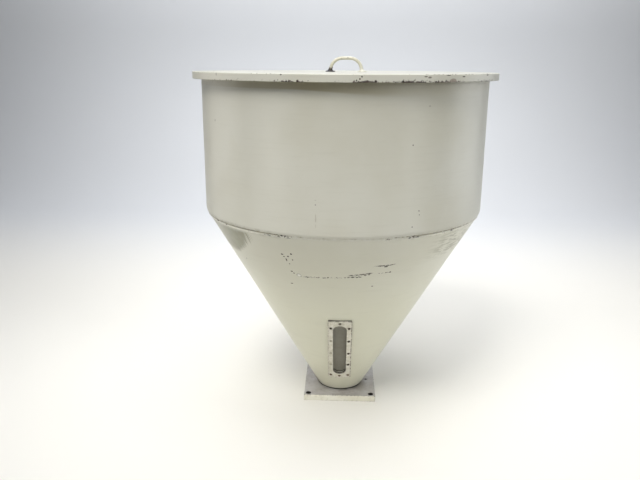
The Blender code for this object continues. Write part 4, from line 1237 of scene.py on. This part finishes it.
def ground_steel():
    """Flat ground plate: turning marks about the bore, scratches, oil stains.
    Its four sides are painted."""
    s = Shade("ground_steel")
    x, y, z = s.parts()
    r = s.math("SQRT", s.add(s.mul(x, x), s.mul(y, y)))
    a = s.math("ARCTAN2", x, y)
    fine = s.noise(1.0, 5, 0.6, vec=s.vec(s.mul(r, 1500.0), s.mul(a, 1.6), 0.0))
    lay = s.noise(1.0, 3, 0.5, vec=s.vec(s.mul(r, 260.0), s.mul(a, 0.8), 4.0))
    mid = s.noise(34, 4, 0.6)
    col = s.mix(s.ease(mid, 0.36, 0.66), lin(196, 193, 191), lin(176, 171, 166))
    col = s.mix(s.mul(s.ease(fine, 0.35, 0.70), 0.30), col, lin(212, 210, 208))
    col = s.mix(s.mul(s.ease(lay, 0.50, 0.72), 0.25), col, lin(146, 139, 133))
    stain = s.ease(s.noise(58, 5, 0.7), 0.56, 0.70)
    col = s.mix(s.mul(stain, 0.34), col, lin(124, 110, 96))
    # painted shade: a black ring in the corner round the cone's foot, full within 52 degrees of the front; grease
    # round the holes
    ring = s.mul(s.ease(r, FOOT_R + 0.0013, FOOT_R + 0.0003), s.ease(z, PLATE_T - 0.004, PLATE_T - 0.001),
                 s.ease(s.math("ABSOLUTE", s.angle()), radians(66), radians(52), 0.35, 1.0),
                 s.ease(s.add(s.noise(75, 4, 0.7), s.ease(r, FOOT_R + 0.0016, FOOT_R)), 0.45, 0.85))
    col = s.mix(s.mul(ring, 0.9), col, lin(34, 31, 29))
    holes = []
    for hx, hy, hr in [(TAP_X, 0, TAP_R)] + [(i * BOLT_PITCH / 2, j * BOLT_PITCH / 2, BOLT_R)
                                            for i in (-1, 1) for j in (-1, 1)]:
        d = s.math("SQRT", s.add(s.mul(s.sub(x, hx), s.sub(x, hx)), s.mul(s.sub(y, hy), s.sub(y, hy))))
        holes.append(s.ease(d, hr + (0.0046 if hr < 0.004 else 0.0020), hr + 0.0002))
    hole = s.mul(s.top(*holes), s.ease(s.noise(160, 3, 0.6), 0.34, 0.66))
    col = s.mix(s.mul(hole, 0.62), col, lin(62, 55, 48))
    # painted shade: the holes' inside faces near black
    inner = s.mul(s.ease(s.top(*holes), 0.90, 1.0), s.ease(z, PLATE_T, PLATE_T - 0.0005))
    col = s.mix(s.mul(inner, 0.97), col, lin(17, 15, 14))
    # paint on the four sides, chipped along both edges
    out = s.math("MAXIMUM", s.math("ABSOLUTE", x), s.math("ABSOLUTE", y))
    rag = s.noise(330, 4, 0.7)
    coat = s.ease(s.add(out, s.mul(s.sub(rag, 0.5), 0.0006)), PLATE / 2 - 0.0005, PLATE / 2 - 0.0003)
    rim = s.top(s.ease(z, PLATE_T - 0.0012, PLATE_T - 0.0002), s.ease(z, 0.0012, 0.0002))
    corner = s.ease(s.math("MINIMUM", s.math("ABSOLUTE", x), s.math("ABSOLUTE", y)),
                    PLATE / 2 - 0.004, PLATE / 2 - 0.001)
    worn = s.ease(s.add(s.mul(s.noise(190, 4, 0.7), 0.6), s.mul(rag, 0.4), s.mul(rim, 0.16), s.mul(corner, 0.10)),
                  0.645, 0.675)
    paint = s.mix(s.ease(mid, 0.36, 0.66), lin(226, 224, 210), lin(217, 214, 197))
    paint = s.mix(s.mul(s.ease(s.noise(120, 4, 0.7), 0.50, 0.70), 0.22), paint, lin(128, 120, 94))
    skin = s.mul(coat, s.sub(1.0, worn))
    col = s.mix(s.mul(coat, worn, 0.7), col, lin(92, 78, 64))
    col = s.mix(skin, col, paint)
    metal = s.mul(s.sub(0.42, s.mul(s.top(ring, s.mul(hole, 0.6), s.mul(stain, 0.25), inner), 0.40)),
                  s.sub(1.0, skin))
    h = s.add(s.mul(fine, 0.6), s.mul(lay, 0.4), s.mul(s.noise(300, 3, 0.6), 0.3), s.mul(skin, 0.8))
    rough = s.rescale(s.add(mid, s.mul(stain, 0.4)), 0.3, 1.0, 0.42, 0.60)
    s.set(Base_Color=col, Metallic=metal, Roughness=s.mix_value(skin, rough, 0.32),
          Normal=s.bump(h, 0.00008, 0.45))
    return s.mat


def rubber():
    s = Shade("black_rubber")
    n = s.noise(300, 4, 0.65)
    col = s.mix(s.ease(n, 0.42, 0.66), lin(30, 29, 27), lin(58, 54, 47))
    s.set(Base_Color=col, Roughness=s.rescale(n, 0.3, 0.7, 0.62, 0.86), Normal=s.bump(n, 0.00015, 0.6))
    return s.mat


def cloudy_pane():
    """Clear plastic gone dull: fine scratches down the flow, dust on the inside."""
    s = Shade("cloudy_pane")
    x, y, z = s.parts()
    scr = s.noise(1.0, 5, 0.62, vec=s.vec(s.mul(x, 900.0), s.mul(z, 22.0), s.mul(y, 40.0)))
    dust = s.noise(70, 5, 0.65)
    col = s.mix(s.ease(dust, 0.34, 0.72), lin(140, 137, 123), lin(131, 127, 110))
    col = s.mix(s.mul(s.ease(scr, 0.58, 0.72), 0.14), col, lin(170, 166, 152))
    # painted shade on the pane along the slot's lower lip
    rr = s.math("SQRT", s.add(s.mul(x, x), s.mul(y, y)))
    up = s.mul(s.sub(rr, FOOT_R - SHEET * cos(SLOPE)), 1 / sin(SLOPE))
    wx = s.sub(x, WIN_X)
    dv = s.math("MAXIMUM", s.sub(s.sub(SLOT_S, up), SLOT_H / 2 - SLOT_W / 2), 0.0)
    dd = s.math("SQRT", s.add(s.mul(dv, dv), s.mul(wx, wx)))
    low = s.mul(s.ease(s.add(dd, s.mul(s.sub(dust, 0.5), 0.0012)), SLOT_W / 2 - 0.0030, SLOT_W / 2 - 0.0018),
                s.ease(dv, 0.002, 0.006))
    col = s.mix(s.mul(low, 0.93), col, lin(26, 23, 20))
    s.set(Base_Color=col, Roughness=s.rescale(dust, 0.3, 0.7, 0.30, 0.42),
          Normal=s.bump(s.add(s.mul(scr, 0.8), s.mul(dust, 0.2)), 0.00005, 0.5))
    s.bsdf.inputs["Transmission Weight"].default_value = 0.35
    s.bsdf.inputs["IOR"].default_value = 1.49
    return s.mat


def dull_screw():
    """Small steel heads: cream over the middle heads of the left column, dark and
    rusty on the right and at the bottom."""
    s = Shade("dull_screw")
    x, y, z = s.parts()
    n = s.noise(700, 4, 0.65)
    m = s.noise(2400, 3, 0.6)
    col = s.mix(s.ease(n, 0.40, 0.62), lin(92, 84, 74), lin(54, 45, 38))
    rust = s.ease(s.noise(1100, 4, 0.7), 0.52, 0.62)
    col = s.mix(s.mul(rust, 0.6), col, lin(78, 52, 36))
    brown = s.ease(z, 0.090, 0.065)
    col = s.mix(s.mul(brown, 0.55), col, lin(112, 88, 62))
    # cream on the heads of the left column, except its top and bottom ones
    each = s.ease(s.noise(1.0, 2, 0.5, vec=s.scaled(24, 24, 24)), 0.40, 0.60)
    left = s.mul(s.ease(x, WIN_X - 0.006, WIN_X - 0.012), s.ease(z, 0.070, 0.090), s.ease(z, 0.205, 0.180))
    cover = s.ease(s.add(s.noise(900, 4, 0.7), s.mul(left, 0.34), s.mul(each, 0.10)), 0.62, 0.72)
    cover = s.mul(cover, s.ease(s.math("MULTIPLY", y, -1.0), 0.03, 0.035))
    col = s.mix(s.mul(cover, 0.9), col, lin(176, 171, 152))
    s.set(Base_Color=col, Metallic=s.mul(s.rescale(rust, 0, 1, 0.8, 0.15), s.sub(1.0, cover)),
          Roughness=s.rescale(n, 0.3, 0.7, 0.36, 0.62), Normal=s.bump(m, 0.00006, 0.5))
    return s.mat


def burnt():
    """Bare fillet, burnt blue-black by the welding."""
    s = Shade("burnt_weld")
    x, y, z = s.parts()
    n = s.noise(420, 4, 0.65)
    hue = s.noise(130, 3, 0.6)
    col = s.mix(s.ease(hue, 0.40, 0.62), lin(27, 23, 22), lin(22, 26, 50))
    col = s.mix(s.ease(z, LID_Z + 0.0022, LID_Z + 0.0034), col,
                s.mix(s.ease(n, 0.42, 0.60), lin(30, 25, 21), lin(58, 49, 38)))
    col = s.mix(s.mul(s.ease(n, 0.58, 0.68), 0.6), col, lin(82, 56, 40))
    s.set(Base_Color=col, Metallic=0.10, Roughness=s.rescale(n, 0.3, 0.7, 0.42, 0.7),
          Normal=s.bump(n, 0.00025, 0.7))
    return s.mat


# painted light and shade: the band (1.03), handle (1.02) and right foot's weld (1.10) take lighter copies of the
# enamel, the lid's upward sheet (0.90) a darker one
MATS = {
    "barrel": enamel("enamel_barrel", "barrel"), "cone": enamel("enamel_cone", "cone"),
    "band": enamel("enamel_band", "band", 1.03), "lid": enamel("enamel_lid", "lid", 0.90),
    "rim": enamel("enamel_rim", "rim"), "handle": enamel("enamel_handle", "handle", 1.02),
    "foot": enamel("enamel_foot", "lid", 1.10),
    "weld": weld_paint("weld_paint"), "seam": seam_paint(), "window": window_paint(),
    "steel": ground_steel(), "rubber": rubber(), "pane": cloudy_pane(),
    "screw": dull_screw(), "burnt": burnt(),
}


def wear(obj, key):
    obj.data.materials.clear()
    obj.data.materials.append(MATS[key])


for o, key in ((barrel, "barrel"), (cone, "cone"), (seam, "seam"), (flange, "rim"),
               (gasket, "rubber"), (window, "window"), (pane, "pane"), (base, "steel"),
               (fillet, "weld"), (bead_barrel, "weld"), (bead_cone, "weld"), (band, "band"),
               (lid, "lid"), (rod, "handle"), (foot_l, "burnt"), (foot_r, "foot")):
    wear(o, key)
for o in screws:
    wear(o, "screw")

# ------------------------------------------------------------------ stage
def backdrop():
    """A plain pale floor that turns to a pale cool wall behind."""
    s = Shade("studio_paper")
    x, y, z = s.parts()
    n = s.noise(3.0, 4, 0.6)
    col = s.mix(s.ease(y, 0.55, 1.75), lin(238, 236, 230), lin(222, 224, 227))
    s.set(Base_Color=s.mix(s.mul(s.ease(n, 0.3, 0.7), 0.04), col, lin(222, 220, 214)), Roughness=0.55)
    return s.mat


verts, faces = [], []
N = 20
profile = [(-2.2, 0.0), (1.6, 0.0)]
profile += [(1.6 + 0.9 * sin(pi / 2 * i / N), 0.9 - 0.9 * cos(pi / 2 * i / N)) for i in range(1, N + 1)]
profile += [(2.5, 3.4)]
for i, (py, pz) in enumerate(profile):
    verts += [(-3.2, py, pz - 0.0002), (3.2, py, pz - 0.0002)]
    if i:
        a = 2 * i
        faces.append([a - 2, a - 1, a + 1, a])
floor = obj_from("studio_floor", verts, faces)
floor.data.shade_smooth()
floor.data.materials.append(backdrop())


def area(name, loc, target, size, power, colour=(1, 1, 1), size_y=None, spread=180):
    d = bpy.data.lights.new(name, "AREA")
    d.energy, d.color, d.spread = power, colour, radians(spread)
    d.shape = "RECTANGLE"
    d.size, d.size_y = size, size_y or size
    o = bpy.data.objects.new(name, d)
    o.location = loc
    o.rotation_euler = (Vector(target) - Vector(loc)).to_track_quat("-Z", "Y").to_euler()
    bpy.context.scene.collection.objects.link(o)
    return o


area("key", (-0.72, -1.50, 2.65), (0.02, -0.05, 0.45), 1.25, 6.5, (1.0, 0.985, 0.955), spread=50)
area("fill", (1.80, -1.55, 1.30), (0.0, 0, 0.45), 1.0, 1.15, (0.97, 0.985, 1.0), spread=50)
area("front", (0.35, -2.05, 1.95), (0.0, 0, 0.55), 0.40, 0.25, (1.0, 0.985, 0.955), spread=40)
area("top", (0.0, 0.25, 2.8), (0, 0.25, 0.0), 2.6, 25, (0.975, 0.985, 1.0), spread=95)
area("right", (2.2, 0.60, 0.50), (0, 0, 0.38), 1.8, 2.3, (0.95, 0.975, 1.0), 1.0, spread=80)
area("left", (-2.2, 0.60, 0.40), (0, 0, 0.34), 1.8, 1.8, (1.0, 0.99, 0.97), 1.0, spread=80)
area("low_left", (-1.35, -0.95, 0.32), (0, 0, 0.22), 0.8, 0.25, (1.0, 0.99, 0.96), 0.4, spread=40)
area("low_right", (1.35, -0.95, 0.32), (0, 0, 0.22), 0.8, 0.22, (0.97, 0.985, 1.0), 0.4, spread=40)
area("wall", (0.0, 1.1, 2.9), (0, 2.5, 1.5), 3.0, 39, (0.975, 0.985, 1.0), 0.6, spread=120)

world = bpy.data.worlds.new("studio")
world.use_nodes = True
bg = world.node_tree.nodes["Background"]
bg.inputs[0].default_value = (0.86, 0.89, 0.93, 1)
bg.inputs[1].default_value = 0.05
bpy.context.scene.world = world

vs = bpy.context.scene.view_settings
vs.view_transform = "Standard"
vs.look = "None"
vs.exposure = 0.0

# ------------------------------------------------------------------ camera
YAW, PITCH, ROLL = -0.0360, 0.2716, 0.0060
fwd = Vector((sin(YAW) * cos(PITCH), cos(YAW) * cos(PITCH), -sin(PITCH)))
r0 = Vector((cos(YAW), -sin(YAW), 0))
u0 = r0.cross(fwd)
right = cos(ROLL) * r0 + sin(ROLL) * u0
upv = -sin(ROLL) * r0 + cos(ROLL) * u0
cam = bpy.data.cameras.new("camera")
cam.sensor_width = 36.0
cam.sensor_fit = "HORIZONTAL"
cam.lens = 630.9 / 640 * 36
cam.clip_start, cam.clip_end = 0.02, 50
co = bpy.data.objects.new("camera", cam)
m = Matrix((right, upv, -fwd)).transposed().to_4x4()
m.translation = Vector((0, -1.290, 0.696))
co.matrix_world = m
bpy.context.scene.collection.objects.link(co)
bpy.context.scene.camera = co

bpy.context.view_layer.update()
